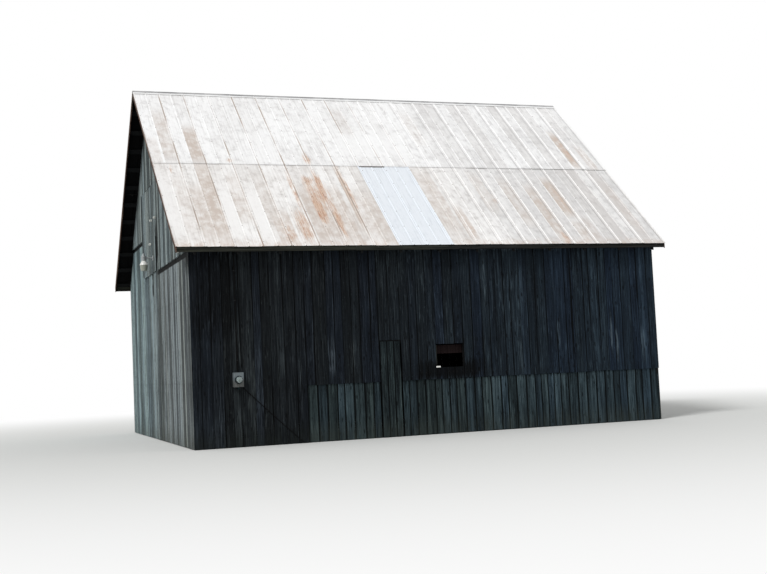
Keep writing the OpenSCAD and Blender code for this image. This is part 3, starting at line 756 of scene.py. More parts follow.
CAP_TIN = TinFinish(
    "cap_tin", "old_tin", srgb(250, 250, 250), srgb(216, 214, 212), 0.0, strips=0.1, lap_dirt=(9.0, 8.0),
    lap_share=(0.65, 0.25), grime=srgb(104, 104, 107), deep_rust=srgb(74, 72, 72), metal=0.1)
# Painted shade: the sheets' undersides are near-black, sooty old tin darkened further to stand for the shade
# under the roof
SHADED_UNDER_TIN = CoatFinish("under_tin", "old_tin", srgb(8, 8, 9), srgb(14, 13, 12), 0.8, shine=0.05)
LATH = TimberFinish("lath_timber", Axis.ALONG)
METER_GREY = CoatFinish(
    "meter_paint", "meter_grey", srgb(108, 118, 123), srgb(74, 73, 69), 0.45, 0.1, dirty_below=(1.46, 1.3))
METER_DARK = CoatFinish(
    "meter_ring_paint", "meter_grey", srgb(14, 34, 38), srgb(28, 32, 32), 0.6, amount=0.3, shine=0.1)
METER_GLASS = GlassFinish("meter_glass", "meter_glass", srgb(225, 236, 238))
DIAL_GREEN = CoatFinish("dial_green", "meter_glass", srgb(128, 148, 138), srgb(104, 116, 108), 0.5)
CABLE_BLACK = CoatFinish("cable_black", "cable_black", srgb(8, 8, 9), srgb(20, 20, 20), 0.85, shine=0.1)
STRAP_GREY = CoatFinish("strap_steel", "lamp_grey", srgb(26, 28, 30), srgb(20, 20, 20), 0.7, 0.1, shine=0.2)
LAMP_GREY = CoatFinish("lamp_grey", "lamp_grey", srgb(158, 163, 165), srgb(100, 96, 86), 0.45, 0.3)
LAMP_WHITE = CoatFinish("lamp_white", "lamp_white", srgb(236, 237, 233), srgb(190, 184, 168), 0.25)
LAMP_LENS = CoatFinish("lamp_lens", "lamp_white", srgb(160, 164, 152), srgb(120, 122, 108), 0.2)
PORCELAIN = CoatFinish(
    "porcelain", "porcelain", srgb(205, 208, 202), srgb(120, 118, 110), 0.18, amount=0.45)
NAIL_STEEL = CoatFinish(
    "nail_steel", "dark_boards", srgb(44, 40, 38), srgb(28, 24, 22), 0.8, 0.2, shine=0.2)
ROOF_NAIL = CoatFinish("roof_nail", "old_tin", srgb(150, 146, 142), srgb(110, 84, 66), 0.6, 0.5)


@cache
def material_of(finish: Finish) -> bpy.types.Material:
    """Make a finish's material the first time that it is asked for."""
    return finish.material()


def dress(made: Piece, finish: Finish, *replaces: str) -> None:
    """Give a piece its material, its body and the nodes that it stands for.

    Args:
        made: The finished piece.
        finish: Its finish.
        replaces: The frame's nodes that it stands for.
    """
    made.data.materials.clear()
    made.data.materials.append(material_of(finish))
    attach(made, "root")
    if replaces:
        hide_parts(*replaces)
    log.info("%s: %d faces", made.name, len(made.data.polygons))


def link(name: str, data: bpy.types.ID) -> Piece:
    """Put data into the scene.

    Args:
        name: The object's name.
        data: Its mesh, curve, lamp or camera.

    Returns:
        The object.
    """
    made = bpy.data.objects.new(name, data)
    bpy.context.scene.collection.objects.link(made)
    return made


def points(x: np.ndarray | float, y: np.ndarray | float, z: np.ndarray | float) -> np.ndarray:
    """Put three lists of coordinates together into points, or three numbers into one."""
    return np.stack(np.broadcast_arrays(x, y, z), axis=-1)


def carry(mesh: bpy.types.Mesh, values: dict[str, np.ndarray]) -> None:
    """Let the points of a mesh carry numbers that its finish reads.

    Args:
        mesh: The mesh.
        values: The numbers by name, of which grain is a vector for each point.
    """
    for key, value in values.items():
        kind, slot = ("FLOAT_VECTOR", "vector") if key == "grain" else ("FLOAT", "value")
        attribute = mesh.attributes.new(key, kind, "POINT")
        attribute.data.foreach_set(slot, value.astype(np.float32).ravel())


@dataclass
class Copies:
    """Shaped copies of one modelled master, gathered into a single mesh."""

    unit: np.ndarray
    faces: list[list[int]]
    shaped: list[np.ndarray] = field(default_factory=list)
    values: dict[str, list[np.ndarray]] = field(default_factory=dict)

    @classmethod
    def of(cls, master: Piece) -> "Copies":
        """Read a master's points and faces, and take it out of the scene.

        Args:
            master: The modelled piece.

        Returns:
            A gathering with no copy yet.
        """
        unit = np.array([v.co for v in master.data.vertices])
        faces = [list(face.vertices) for face in master.data.polygons]
        bpy.data.objects.remove(master)
        return cls(unit, faces)

    def fresh(self) -> "Copies":
        """Start another gathering of the same master."""
        return Copies(self.unit, self.faces)

    def add(self, shaped: np.ndarray, **values: np.ndarray | float) -> None:
        """Add one copy.

        Args:
            shaped: Its points.
            values: The numbers that they carry.
        """
        self.shaped.append(shaped)
        for key, value in values.items():
            shape = (len(shaped), 3) if key == "grain" else (len(shaped),)
            self.values.setdefault(key, []).append(np.broadcast_to(value, shape))

    def make(self, name: str) -> Piece:
        """Make the mesh object of all the copies.

        Args:
            name: The piece's name.

        Returns:
            The piece.
        """
        size = len(self.unit)
        faces = [[v + size * i for v in face] for i in range(len(self.shaped)) for face in self.faces]
        mesh = bpy.data.meshes.new(name)
        mesh.from_pydata(np.concatenate(self.shaped), [], faces)
        carry(mesh, {key: np.concatenate(parts) for key, parts in self.values.items()})
        made = link(name, mesh)
        Bench.turn_out(made)
        return made


class Bench:
    """Modelling with operators, with nothing but the work selected."""

    @staticmethod
    def settle(name: str) -> Piece:
        """Put the place of what was just added into its mesh.

        Args:
            name: The piece's name.

        Returns:
            The piece.
        """
        made = bpy.context.object
        made.name = made.data.name = name
        bpy.ops.object.transform_apply(location=True, rotation=True, scale=True)
        return made

    @staticmethod
    def block(name: str, low: Sequence[float], high: Sequence[float]) -> Piece:
        """Add a box.

        Args:
            name: The piece's name.
            low: Its lower corner.
            high: Its upper corner.

        Returns:
            The piece.
        """
        low, high = Vector(low), Vector(high)
        bpy.ops.object.select_all(action="DESELECT")
        bpy.ops.mesh.primitive_cube_add(size=1, location=(low + high) / 2)
        bpy.ops.transform.resize(value=high - low)
        return Bench.settle(name)

    @staticmethod
    def plate(
        name: str, low: Sequence[float], high: Sequence[float], axis: int, bevel: float, segments: int = 2
    ) -> Piece:
        """Add a box with rounded corners.

        Args:
            name: The piece's name.
            low: Its lower corner.
            high: Its upper corner.
            axis: The axis that the rounded edges run along.
            bevel: How far the rounding reaches.
            segments: How many facets it has.

        Returns:
            The piece.
        """
        made = Bench.block(name, low, high)
        Bench.pick(made, "EDGE", lambda at, way: abs(way[axis]) > 0.9)
        bpy.ops.mesh.bevel(offset=bevel, segments=segments, affect="EDGES")
        Bench.leave()
        return made

    @staticmethod
    def select(made: Piece) -> None:
        """Select one object alone and make it active.

        Args:
            made: The object.
        """
        bpy.ops.object.select_all(action="DESELECT")
        made.select_set(True)
        bpy.context.view_layer.objects.active = made

    @staticmethod
    def enter(made: Piece, action: str = "SELECT") -> None:
        """Enter edit mode.

        Args:
            made: The mesh object.
            action: SELECT to start with all of it selected, DESELECT for none.
        """
        Bench.select(made)
        bpy.ops.object.mode_set(mode="EDIT")
        bpy.ops.mesh.select_all(action=action)

    @staticmethod
    def pick(made: Piece, kind: str, test: Test) -> None:
        """Enter edit mode with some faces or edges selected.

        Args:
            made: The mesh object.
            kind: FACE or EDGE.
            test: Takes the middle and the normal or direction, and says whether it is wanted.
        """
        Bench.enter(made, "DESELECT")
        bpy.ops.mesh.select_mode(type=kind)
        shape = bmesh.from_edit_mesh(made.data)
        if kind == "FACE":
            for face in shape.faces:
                face.select_set(test(face.calc_center_median(), face.normal))
        else:
            for edge in shape.edges:
                first, second = (v.co for v in edge.verts)
                edge.select_set(test((first + second) / 2, (second - first).normalized()))
        bmesh.update_edit_mesh(made.data)

    @staticmethod
    def leave() -> None:
        """Leave edit mode."""
        bpy.ops.object.mode_set(mode="OBJECT")

    @staticmethod
    def cut(made: Piece, axis: int, places: Sequence[float]) -> None:
        """Bisect a mesh at right angles to an axis.

        Args:
            made: The mesh object.
            axis: The axis, 0 to 2.
            places: Where along it the mesh is cut.
        """
        Bench.enter(made)
        normal = [float(axis == i) for i in range(3)]
        for place in places:
            bpy.ops.mesh.select_all(action="SELECT")
            bpy.ops.mesh.bisect(plane_co=[place * n for n in normal], plane_no=normal)
        Bench.leave()

    @staticmethod
    def thicken(made: Piece, thickness: float, offset: float = 1.0) -> None:
        """Give a sheet its thickness.

        Args:
            made: The mesh object.
            thickness: How thick it becomes.
            offset: 1 to grow outwards, -1 to grow inwards.
        """
        Bench.select(made)
        modifier = made.modifiers.new("thickness", "SOLIDIFY")
        modifier.thickness = thickness
        modifier.offset = offset
        bpy.ops.object.modifier_apply(modifier=modifier.name)

    @staticmethod
    def turn_out(made: Piece) -> None:
        """Make every face point outwards.

        Args:
            made: The mesh object.
        """
        Bench.enter(made)
        bpy.ops.mesh.normals_make_consistent(inside=False)
        Bench.leave()

    @staticmethod
    def smooth(made: Piece, degrees: float = 35.0) -> None:
        """Shade smooth up to an angle."""
        Bench.select(made)
        bpy.ops.object.shade_smooth_by_angle(angle=math.radians(degrees))

    @staticmethod
    def turned(
        name: str, profile: Sequence[Span], base: Sequence[float], axis: Sequence[float], sides: int,
        wide: float = 1.0, high: float = 1.0
    ) -> Piece:
        """Model a round piece by extruding and resizing a disc.

        Args:
            name: The piece's name.
            profile: A radius and a height for each ring.
            base: Where height 0 is.
            axis: The way that height runs.
            sides: How many sides the rings have.
            wide: What the radii are multiplied by.
            high: What the heights are multiplied by.

        Returns:
            The piece, closed at both ends.
        """
        rings = [(radius * wide, height * high) for radius, height in profile]
        radius, height = rings[0]
        bpy.ops.object.select_all(action="DESELECT")
        bpy.ops.mesh.primitive_circle_add(
            vertices=sides, radius=radius, fill_type="NGON", location=(0, 0, height))
        made = Bench.settle(name)
        Bench.enter(made)
        for next_radius, next_height in rings[1:]:
            step = {"value": (0, 0, next_height - height)}
            bpy.ops.mesh.extrude_region_move(TRANSFORM_OT_translate=step)
            share = next_radius / radius
            bpy.ops.transform.resize(value=(share, share, 1), center_override=(0, 0, next_height))
            radius, height = next_radius, next_height
        Bench.leave()
        turn = Vector(axis).to_track_quat("Z", "Y").to_matrix().to_4x4()
        made.data.transform(Matrix.Translation(base) @ turn)
        Bench.turn_out(made)
        Bench.smooth(made)
        return made

    @staticmethod
    def folded(section: Sequence[Span], axis: int, cuts: int, thickness: float) -> Copies:
        """Fold a strip of sheet metal, one unit long, by extruding its edge along a section.

        Args:
            section: A place across the strip and a height for each corner.
            axis: The axis that the section runs along, 0 or 1.
            cuts: Into how many equal lengths the strip is cut.
            thickness: The metal's thickness.

        Returns:
            The strip, for copies.
        """
        (near, base), (far, top) = section[:2]
        middle, size = Vector((0.5, 0.5, base)), Vector((1, 1, 1))
        middle[axis], size[axis] = (near + far) / 2, far - near
        bpy.ops.object.select_all(action="DESELECT")
        bpy.ops.mesh.primitive_plane_add(size=1, location=middle)
        bpy.ops.transform.resize(value=size)
        made = Bench.settle("strip")
        edge = far - 1e-6
        Bench.pick(made, "EDGE", lambda at, way: at[axis] > edge)
        bpy.ops.transform.translate(value=(0, 0, top - base))
        for (near, base), (far, top) in zip(section[1:], section[2:]):
            step = Vector((0, 0, top - base))
            step[axis] = far - near
            bpy.ops.mesh.extrude_region_move(TRANSFORM_OT_translate={"value": step})
        Bench.leave()
        Bench.cut(made, 1 - axis, [i / cuts for i in range(1, cuts)])
        Bench.thicken(made, thickness)
        return Copies.of(made)

    @staticmethod
    def rod(name: str, places: Sequence[Sequence[float]], radius: float, sides: int = 12) -> Piece:
        """Sweep a round rod.

        Args:
            name: The piece's name.
            places: The points that it runs through.
            radius: Its radius.
            sides: How many sides it has.

        Returns:
            The piece.
        """
        curve = bpy.data.curves.new(name, "CURVE")
        curve.dimensions = "3D"
        curve.bevel_depth = radius
        curve.bevel_resolution = sides // 4 - 1
        curve.use_fill_caps = True
        spline = curve.splines.new("POLY")
        spline.points.add(len(places) - 1)
        for point, place in zip(spline.points, places):
            point.co = (*place, 1.0)
        Bench.select(link(name, curve))
        bpy.ops.object.convert(target="MESH")
        made = bpy.context.object
        Bench.turn_out(made)
        Bench.smooth(made, 50)
        return made

    @staticmethod
    def join(name: str, parts: Sequence[Piece]) -> Piece:
        """Join parts into one piece.

        Args:
            name: The piece's name.
            parts: The parts.

        Returns:
            The piece.
        """
        Bench.select(parts[0])
        for part in parts:
            part.select_set(True)
        bpy.ops.object.join()
        return Bench.settle(name)


class Side(Enum):
    """A wall: whether it runs along X, and which way its outer face looks."""

    FRONT = (True, -1)
    BACK = (True, 1)
    LEFT = (False, -1)
    RIGHT = (False, 1)

    def put(
        self, along: np.ndarray | float, out: np.ndarray | float, up: np.ndarray | float
    ) -> np.ndarray:
        """Turn places along, out of and up a wall into points of the frame."""
        runs_x, sign = self.value
        return points(along, sign * out, up) if runs_x else points(sign * out, along, up)

    def outer(self, node: str) -> float:
        """Say how far out the outer face of a node lies."""
        runs_x, sign = self.value
        return abs(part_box(node)[(1 + sign) // 2][int(runs_x)])


def deck(drop: float) -> Edge:
    """Make an edge that follows the roof, some way under its deck."""
    return lambda along: RIDGE - drop - np.abs(along) * FALL


def capped(height: float, roof: Edge) -> Edge:
    """Make an edge that is level until the roof comes lower."""
    return lambda along: np.minimum(height, roof(along))


RAFTER_DEPTH = 0.12
UNDER_LATH = deck(TRIM / COSINE + CLEAR)
UNDER_RAFTER = deck((TRIM + RAFTER_DEPTH) / COSINE)


@dataclass(frozen=True)
class Stretch:
    """A run of boards between two places, over a lower edge and under an upper one.

    An edge is one height, a height at each end, or a line such as the roof's.
    """

    start: float
    end: float
    low: Edge
    high: Edge

    def level(self, edge: Edge, along: np.ndarray) -> np.ndarray:
        """Say how high an edge is.

        Args:
            edge: The edge.
            along: Places along the wall.

        Returns:
            Its height at each place.
        """
        if callable(edge):
            return edge(along)
        return np.interp(along, (self.start, self.end), np.broadcast_to(edge, 2))


@dataclass
class BoardMaker:
    """Models one board by hand, for every wall to copy."""

    width: float = 0.2
    length: float = 2.0
    edge: float = 0.0025
    cuts: int = 10

    def model(self) -> Copies:
        """Model a board with worn edges and enough cuts to warp.

        Returns:
            The board, its three sizes brought to 1.
        """
        made = Bench.block("board", (0, 0, 0), (self.width, TRIM, self.length))
        outer = TRIM - 1e-5
        Bench.pick(made, "EDGE", lambda at, way: abs(way.z) > 0.9 and at.y > outer)
        bpy.ops.mesh.bevel(offset=self.edge, segments=1, affect="EDGES")
        Bench.leave()
        Bench.cut(made, 2, [self.length * i / self.cuts for i in range(1, self.cuts)])
        Bench.cut(made, 0, [self.width / 3, self.width * 2 / 3])
        copies = Copies.of(made)
        copies.unit = copies.unit / (self.width, TRIM, self.length)
        return copies


@dataclass
class NailMaker:
    """Models one nail head by hand, for every wall and slope to copy."""

    radius: float = 0.0055
    height: float = 0.003
    sides: int = 7

    def model(self) -> Copies:
        """Model a domed head that stands along Z, a little sunk into what it holds."""
        profile, sunk = ((1, 0), (1, 0.5), (0.6, 1)), (0, 0, -self.height * 0.3)
        return Copies.of(Bench.turned("nail", profile, sunk, (0, 0, 1), self.sides, self.radius, self.height))


@dataclass
class BoardWall:
    """One wall of upright boards, each with its own width, warp and foot."""

    name: str
    side: Side
    node: str
    stretches: Sequence[Stretch]
    finish: BoardFinish
    seed: int
    width: float = 0.215
    spread: float = 0.3
    gap: float = 0.005
    ragged: float = 0.012
    drift: float = 0.004
    cup: float = 0.0015
    bow: float = 0.0018
    set_back: Span = (0.0015, 0.004)
    head_gap: float = 0.0008
    back_gap: float = 0.002
    nail_shares: Span = (0.22, 0.78)
    nail_clear: float = 0.03
    nail_stray: Span = (0.03, 0.02)
    nails: list[np.ndarray] = field(default_factory=list)

    def build(self, board: Copies) -> None:
        """Build the boards as one piece.

        Args:
            board: The modelled board.
        """
        self.rng = np.random.default_rng(self.seed)
        self.copies = board.fresh()
        self.face = self.side.outer(self.node)
        low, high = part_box(self.node)
        self.thick = min(high.x - low.x, high.y - low.y, TRIM)
        for stretch in self.stretches:
            self.lay(stretch)
        dress(self.copies.make(self.name), self.finish, self.node)

    def lay(self, stretch: Stretch) -> None:
        """Lay boards side by side.

        Args:
            stretch: Where they run.
        """
        length = stretch.end - stretch.start
        count = max(1, round(length / self.width))
        shares = 1 + self.spread * self.rng.uniform(-1, 1, count)
        joints = stretch.start + np.concatenate(([0], np.cumsum(shares))) / shares.sum() * length
        drift = self.rng.uniform(-self.drift, self.drift, (count + 1, 4))
        drift[[0, -1]] = 0
        for i in range(count):
            self.shape(stretch, joints[i:i + 2], drift[i:i + 2])

    def shape(self, stretch: Stretch, joints: np.ndarray, drift: np.ndarray) -> None:
        """Shape one board, and nail it to the girts.

        Args:
            stretch: The stretch that it belongs to.
            joints: The joints on its two sides.
            drift: How each of them wanders: at its foot, at its head, in waves and their phase.
        """
        rng = self.rng
        a, d, s = self.copies.unit.T
        sides = []
        for (foot, head, swing, phase), joint, inward in zip(drift, joints, (1, -1)):
            wave = swing * np.sin(5 * s + phase * 900)
            sides.append(joint + foot * (1 - s) + head * s + wave + inward * self.gap / 2)
        along = sides[0] + a * (sides[1] - sides[0])
        low, high = (stretch.level(edge, along) for edge in (stretch.low, stretch.high))
        low = low + rng.uniform(0, self.ragged) + rng.uniform(0, self.ragged / 2, len(a)) * (s < 0.01)
        high = high - self.head_gap
        up = low + s * (high - low)
        cup = rng.uniform(-self.cup, self.cup) * (1 - (2 * a - 1) ** 2)
        bow = rng.uniform(0, self.bow) * np.sin(math.pi * s * rng.integers(1, 4)) ** 2
        set_back = rng.uniform(*self.set_back)
        behind = (1 - d) * (self.thick - set_back - self.back_gap) + set_back + bow - cup * d
        self.copies.add(
            self.side.put(along, self.face - behind, up), tone=rng.uniform(), across=2 * a - 1,
            grain=points(along, d * self.thick, up))
        aside, off_row = self.nail_stray
        for row in self.finish.nail_rows:
            if not low.max() + self.nail_clear < row < high.min() - self.nail_clear:
                continue
            for share in self.nail_shares:
                at = joints[0] + (joints[1] - joints[0]) * (share + rng.uniform(-aside, aside))
                height = row + rng.uniform(-off_row, off_row)
                self.nails.append(self.side.put(at, self.face - set_back, height))


@dataclass
class Walls:
    """The board walls of the barn."""

    gap: float = 0.012
    loft_gap: float = 0.015
    slot_width: float = 0.2
    slot_height: float = 0.85
    back_lap: float = 1.0
    loft_slit: float = 0.03
    broken: float = 0.25
    broken_rise: float = 0.05
    crack_y: float = 0.385
    crack_width: float = 0.11
    crack_length: float = 0.55
    tuck: float = 0.08

    def front(self) -> Iterator[BoardWall]:
        """Plan the front's boards, round the window and the narrow panel.

        Yields:
            Each wall.
        """
        panel_low, panel_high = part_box("narrow_panel")
        start, end = panel_low.x - self.gap, panel_high.x + self.gap
        for seed, part in enumerate(("left", "mid", "over_window", "under_window", "right"), 11):
            low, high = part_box(f"front_wall_{part}")
            runs = [(low.x, high.x, low.z)]
            if part == "mid":
                runs = [(low.x, start, low.z), (start, end, panel_high.z + self.gap), (end, high.x, low.z)]
            stretches = [Stretch(*run, high.z) for run in runs]
            yield BoardWall(f"front_boards_{part}", Side.FRONT, f"front_wall_{part}", stretches, FRONT, seed)
        low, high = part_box("front_skirt")
        skirt = [Stretch(low.x, start, 0, high.z), Stretch(end, high.x, 0, high.z)]
        yield BoardWall("skirt_boards", Side.FRONT, "front_skirt", skirt, SKIRT, 21, 0.2, 0.25, 0.007)
        narrow = [Stretch(panel_low.x, panel_high.x - self.gap, 0, panel_high.z)]
        yield BoardWall("narrow_panel_boards", Side.FRONT, "narrow_panel", narrow, PANEL, 22, 0.16, 0.15)

    def left(self) -> Iterator[BoardWall]:
        """Plan the left end's boards, round the loft panel and its worn edges.

        Yields:
            Each wall.
        """
        gable, panel, wall = (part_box(n) for n in ("left_gable_boards", "loft_panel", "left_wall"))
        gap, lap_z = self.loft_gap, gable[0].z
        front, back, head = panel[0].y - gap, panel[1].y + gap, panel[1].z + gap
        slot = front - self.slot_width
        upper = [
            Stretch(gable[0].y, slot, lap_z, UNDER_LATH),
            Stretch(slot, front, lap_z + self.slot_height, UNDER_LATH),
            Stretch(front, 0, head, UNDER_LATH), Stretch(0, back, head, UNDER_LATH),
            Stretch(back, gable[1].y, lap_z + self.back_lap, UNDER_LATH)]
        yield BoardWall(
            "gable_boards_left", Side.LEFT, "left_gable_boards", upper, WEST_GABLE, 31, 0.235)
        top, last = panel[1].z + gap * 0.8, panel[1].y - self.loft_slit
        loft = [
            Stretch(panel[0].y, last - self.broken, lap_z, top),
            Stretch(last - self.broken, last, (lap_z, lap_z + self.broken_rise), top)]
        yield BoardWall("loft_panel_boards", Side.LEFT, "loft_panel", loft, WEST_GABLE, 32, 0.235)
        crack, low_top, crack_foot = self.crack_y, lap_z + self.tuck, lap_z - self.crack_length
        crack_start, crack_end = crack - self.crack_width, crack + self.crack_width
        lower = [
            Stretch(wall[0].y, crack_start, 0, capped(low_top, UNDER_RAFTER)),
            Stretch(crack_start, crack, 0, (low_top, crack_foot)),
            Stretch(crack, crack_end, 0, (crack_foot, low_top)),
            Stretch(crack_end, back, 0, low_top),
            Stretch(back, wall[1].y, 0, capped(wall[1].z, UNDER_RAFTER))]
        yield BoardWall("wall_boards_left", Side.LEFT, "left_wall", lower, WEST, 33, 0.225)

    def hidden(self) -> Iterator[BoardWall]:
        """Plan the boards of the back and the right end.

        Yields:
            Each wall.
        """
        low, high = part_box("back_wall")
        back = [Stretch(low.x, high.x, 0, high.z)]
        yield BoardWall("wall_boards_back", Side.BACK, "back_wall", back, TAR, 41)
        low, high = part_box("right_wall")
        right = [Stretch(low.y, high.y, 0, capped(high.z, UNDER_RAFTER))]
        yield BoardWall("wall_boards_right", Side.RIGHT, "right_wall", right, GREY, 42, 0.225)
        low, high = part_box("right_gable_boards")
        gable = [Stretch(low.y, 0, low.z, UNDER_LATH), Stretch(0, high.y, low.z, UNDER_LATH)]
        yield BoardWall("gable_boards_right", Side.RIGHT, "right_gable_boards", gable, PALE, 43, 0.235)

    def build(self) -> None:
        """Build every wall, and put a nail head at each of its nails."""
        board, head = BoardMaker().model(), NailMaker().model()
        spots: dict[Side, list[np.ndarray]] = {side: [] for side in Side}
        for wall in (*self.front(), *self.left(), *self.hidden()):
            wall.build(board)
            spots[wall.side] += wall.nails
        x, y, z = head.unit.T
        for side, places in spots.items():
            nails = head.fresh()
            for place in places:
                nails.add(side.put(x, z, y) + place)
            dress(nails.make(f"nails_{side.name.lower()}"), NAIL_STEEL)


@dataclass
class Sheet:
    """One crimped roof sheet, modelled by hand for every course to copy."""

    cover: float = 0.61
    thick: float = 0.0012
    solid: float = 0.002
    crimp_w: float = 0.030
    crimp_h: float = 0.012
    crimp_gap: float = 0.048
    edge: float = 0.003
    rows: int = 14

    def model(self) -> Copies:
        """Fold the sheet with a pair of crimps at each side and one crimp in its middle.

        Returns:
            The sheet, one unit long.
        """
        half, gap = self.crimp_w / 2, self.crimp_gap / 2
        reach = gap + half + self.edge
        corners = [(-reach, 0.0)]
        for middle in (-gap, gap, self.cover / 2, self.cover - gap, self.cover + gap):
            for share, height in ((-1, 0), (-0.2, 1), (0.2, 1), (1, 0)):
                corners.append((middle + share * half, height * self.crimp_h))
        return Bench.folded(corners + [(self.cover + reach, 0.0)], 0, self.rows, self.thick)


@dataclass
class Course:
    """One course of sheets on one slope, between two places down it."""

    name: str
    node: str
    finish: TinFinish
    front: bool
    top: float
    bottom: float
    lift: float
    seed: int
    sheets: Sequence[int] = range(SHEET_COUNT)


@dataclass
class Roof:
    """Both slopes of crimped sheets, the laths, the ridge cap and the roof nails."""

    run: float = 5.125
    sheets: int = SHEET_COUNT
    newer: tuple[int, ...] = (8, 9)
    upper_share: float = 0.51
    course_lap: float = 0.15
    top_gap: float = 0.027
    lath_pitch: float = 0.6
    lath_width: float = 0.14
    fold: float = 0.002
    squeeze: float = 0.04
    stagger: Span = (0.006, 0.02)
    skew: float = 0.004
    side_lift: float = 0.0011
    wave: float = 0.0008
    curl: float = 0.004
    nail_clear: float = 0.02
    nail_stray: Span = (0.003, 0.03)
    cap_lengths: int = 5
    cap_lap: float = 0.1
    cap_cuts: int = 8
    cap_sag: float = 0.006
    cap_step: float = 0.0015
    sheet: Sheet = field(default_factory=Sheet)

    def __post_init__(self) -> None:
        """Take the ends from the frame."""
        self.left, self.right = ROOF_LOW.x, ROOF_HIGH.x
        self.length = self.right - self.left
        self.step = self.length / self.sheets
        self.slope = self.run / COSINE
        self.upper_end = self.slope * self.upper_share
        self.lowest_lath = self.slope - 2 * TRIM / COSINE

    def build(self) -> None:
        """Build every course, the laths, the nails and the cap."""
        master = self.sheet.model()
        lift = self.sheet.solid + CLEAR
        lower_top = self.upper_end - self.course_lap
        lower = (lower_top, self.slope, 0.0)
        upper = (self.top_gap, self.upper_end, 2 * lift)
        old = [i for i in range(self.sheets) if i not in self.newer]
        courses = [
            Course("front_sheets_lower", "front_roof_lower", BROWN_TIN, True, *lower, 51, old),
            Course("new_sheets", "new_roof_sheets", NEW_TIN, True, *lower[:2], lift, 52, self.newer),
            Course("front_sheets_upper", "front_roof_upper", WHITE_TIN, True, *upper, 53),
            Course("back_sheets_lower", "back_roof_lower", BACK_TIN, False, *lower, 54),
            Course("back_sheets_upper", "back_roof_upper", BACK_TIN, False, *upper, 55)]
        for course in courses:
            self.lay(course, master)
        self.lath()
        self.nail(courses)
        self.cap()

    def lath(self) -> None:
        """Lay the front slope's laths, each up to the rake board where the slope runs in."""
        rng = np.random.default_rng(58)
        copies = BoardMaker(edge=0.001).model()
        a, d, s = copies.unit.T
        count = int((self.lowest_lath - TRIM - self.lath_width) / self.lath_pitch) + 1
        for i in range(count):
            down = self.lowest_lath - i * self.lath_pitch - a * self.lath_width
            x = self.left + TRIM + s * (self.length - 2 * TRIM)
            off = (d - 1) * (TRIM - CLEAR) - CLEAR - rng.uniform(0, 0.0005)
            copies.add(self.put(x, down, off, True))
        dress(copies.make("front_laths"), LATH, "front_roof_lath")

    def nail(self, courses: Sequence[Course]) -> None:
        """Drive capped nails through the crimps at every lath.

        Args:
            courses: The courses of sheets.
        """
        rng = np.random.default_rng(56)
        heads = NailMaker(0.011, 0.005, 8).model()
        x, y, z = heads.unit.T
        first = self.lowest_lath - self.lath_width / 2
        rows = [first - i * self.lath_pitch for i in range(int(first / self.lath_pitch) + 1)]
        aside, off_row = self.nail_stray
        for course in courses:
            lapped = self.upper_end if course.top > self.top_gap else 0
            for down in rows:
                if not max(course.top + self.nail_clear, lapped) < down < course.bottom - self.nail_clear:
                    continue
                for i in course.sheets:
                    for place in (i + self.sheet.crimp_gap / 2 / self.sheet.cover, i + 0.5):
                        across = self.left + place * self.step + rng.uniform(-aside, aside)
                        along = down + rng.uniform(-off_row, off_row)
                        off = self.sheet.crimp_h + self.sheet.thick + course.lift
                        heads.add(self.put(across + x, along + y, off + z, course.front))
        dress(heads.make("roof_nails"), ROOF_NAIL)

    def cap(self) -> None:
        """Bend lengths of cap over the ridge, each lapping the next."""
        top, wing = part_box("ridge_cap")[1].z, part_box("ridge_cap")[1].y
        hem = round_off = 0.012
        low = top - 2 * self.sheet.solid - wing * FALL
        section = [
            (-wing, low), (-wing + hem, low + hem * FALL), (-wing / 3, low + wing * FALL * 2 / 3),
            (-round_off, low + (wing - round_off) * FALL), (0, low + wing * FALL - round_off * 0.3)]
        section += [(-y, z) for y, z in reversed(section[:-1])]
        copies = Bench.folded(section, 1, self.cap_cuts, self.sheet.thick)
        ux, uy, uz = copies.unit.T
        rng = np.random.default_rng(57)
        pitch = (self.length - self.cap_lap) / self.cap_lengths
        edge = np.abs(uy) / wing
        for i in range(self.cap_lengths):
            x = np.clip(self.left + i * pitch + ux * (pitch + self.cap_lap), self.left, self.right)
            sag = rng.uniform(0, self.cap_sag, len(ux)) * (edge > 0.9) + self.cap_step * (i % 2)
            copies.add(
                points(x, uy, uz - sag), tone=rng.uniform(), crest=0.0, over=edge * wing * 0.22,
                grain=points(x, edge, edge * wing))
        dress(copies.make("ridge_cap_lengths"), CAP_TIN, "ridge_cap")

    def put(self, x: np.ndarray, down: np.ndarray, off: np.ndarray, front: bool) -> np.ndarray:
        """Turn places on a slope into points of the frame, with the front slope run in at the left.

        Args:
            x: Places along the ridge.
            down: Places down the slope.
            off: Heights over the deck, square to it.
            front: Whether it is the front slope.

        Returns:
            The points.
        """
        side = -1 if front else 1
        if front:
            along = (x - self.left) / self.length
            x = x + RUN_IN * (1 - along**2) * down / self.slope
        return points(x, side * (down * COSINE + off * SINE), RIDGE - down * SINE + off * COSINE)

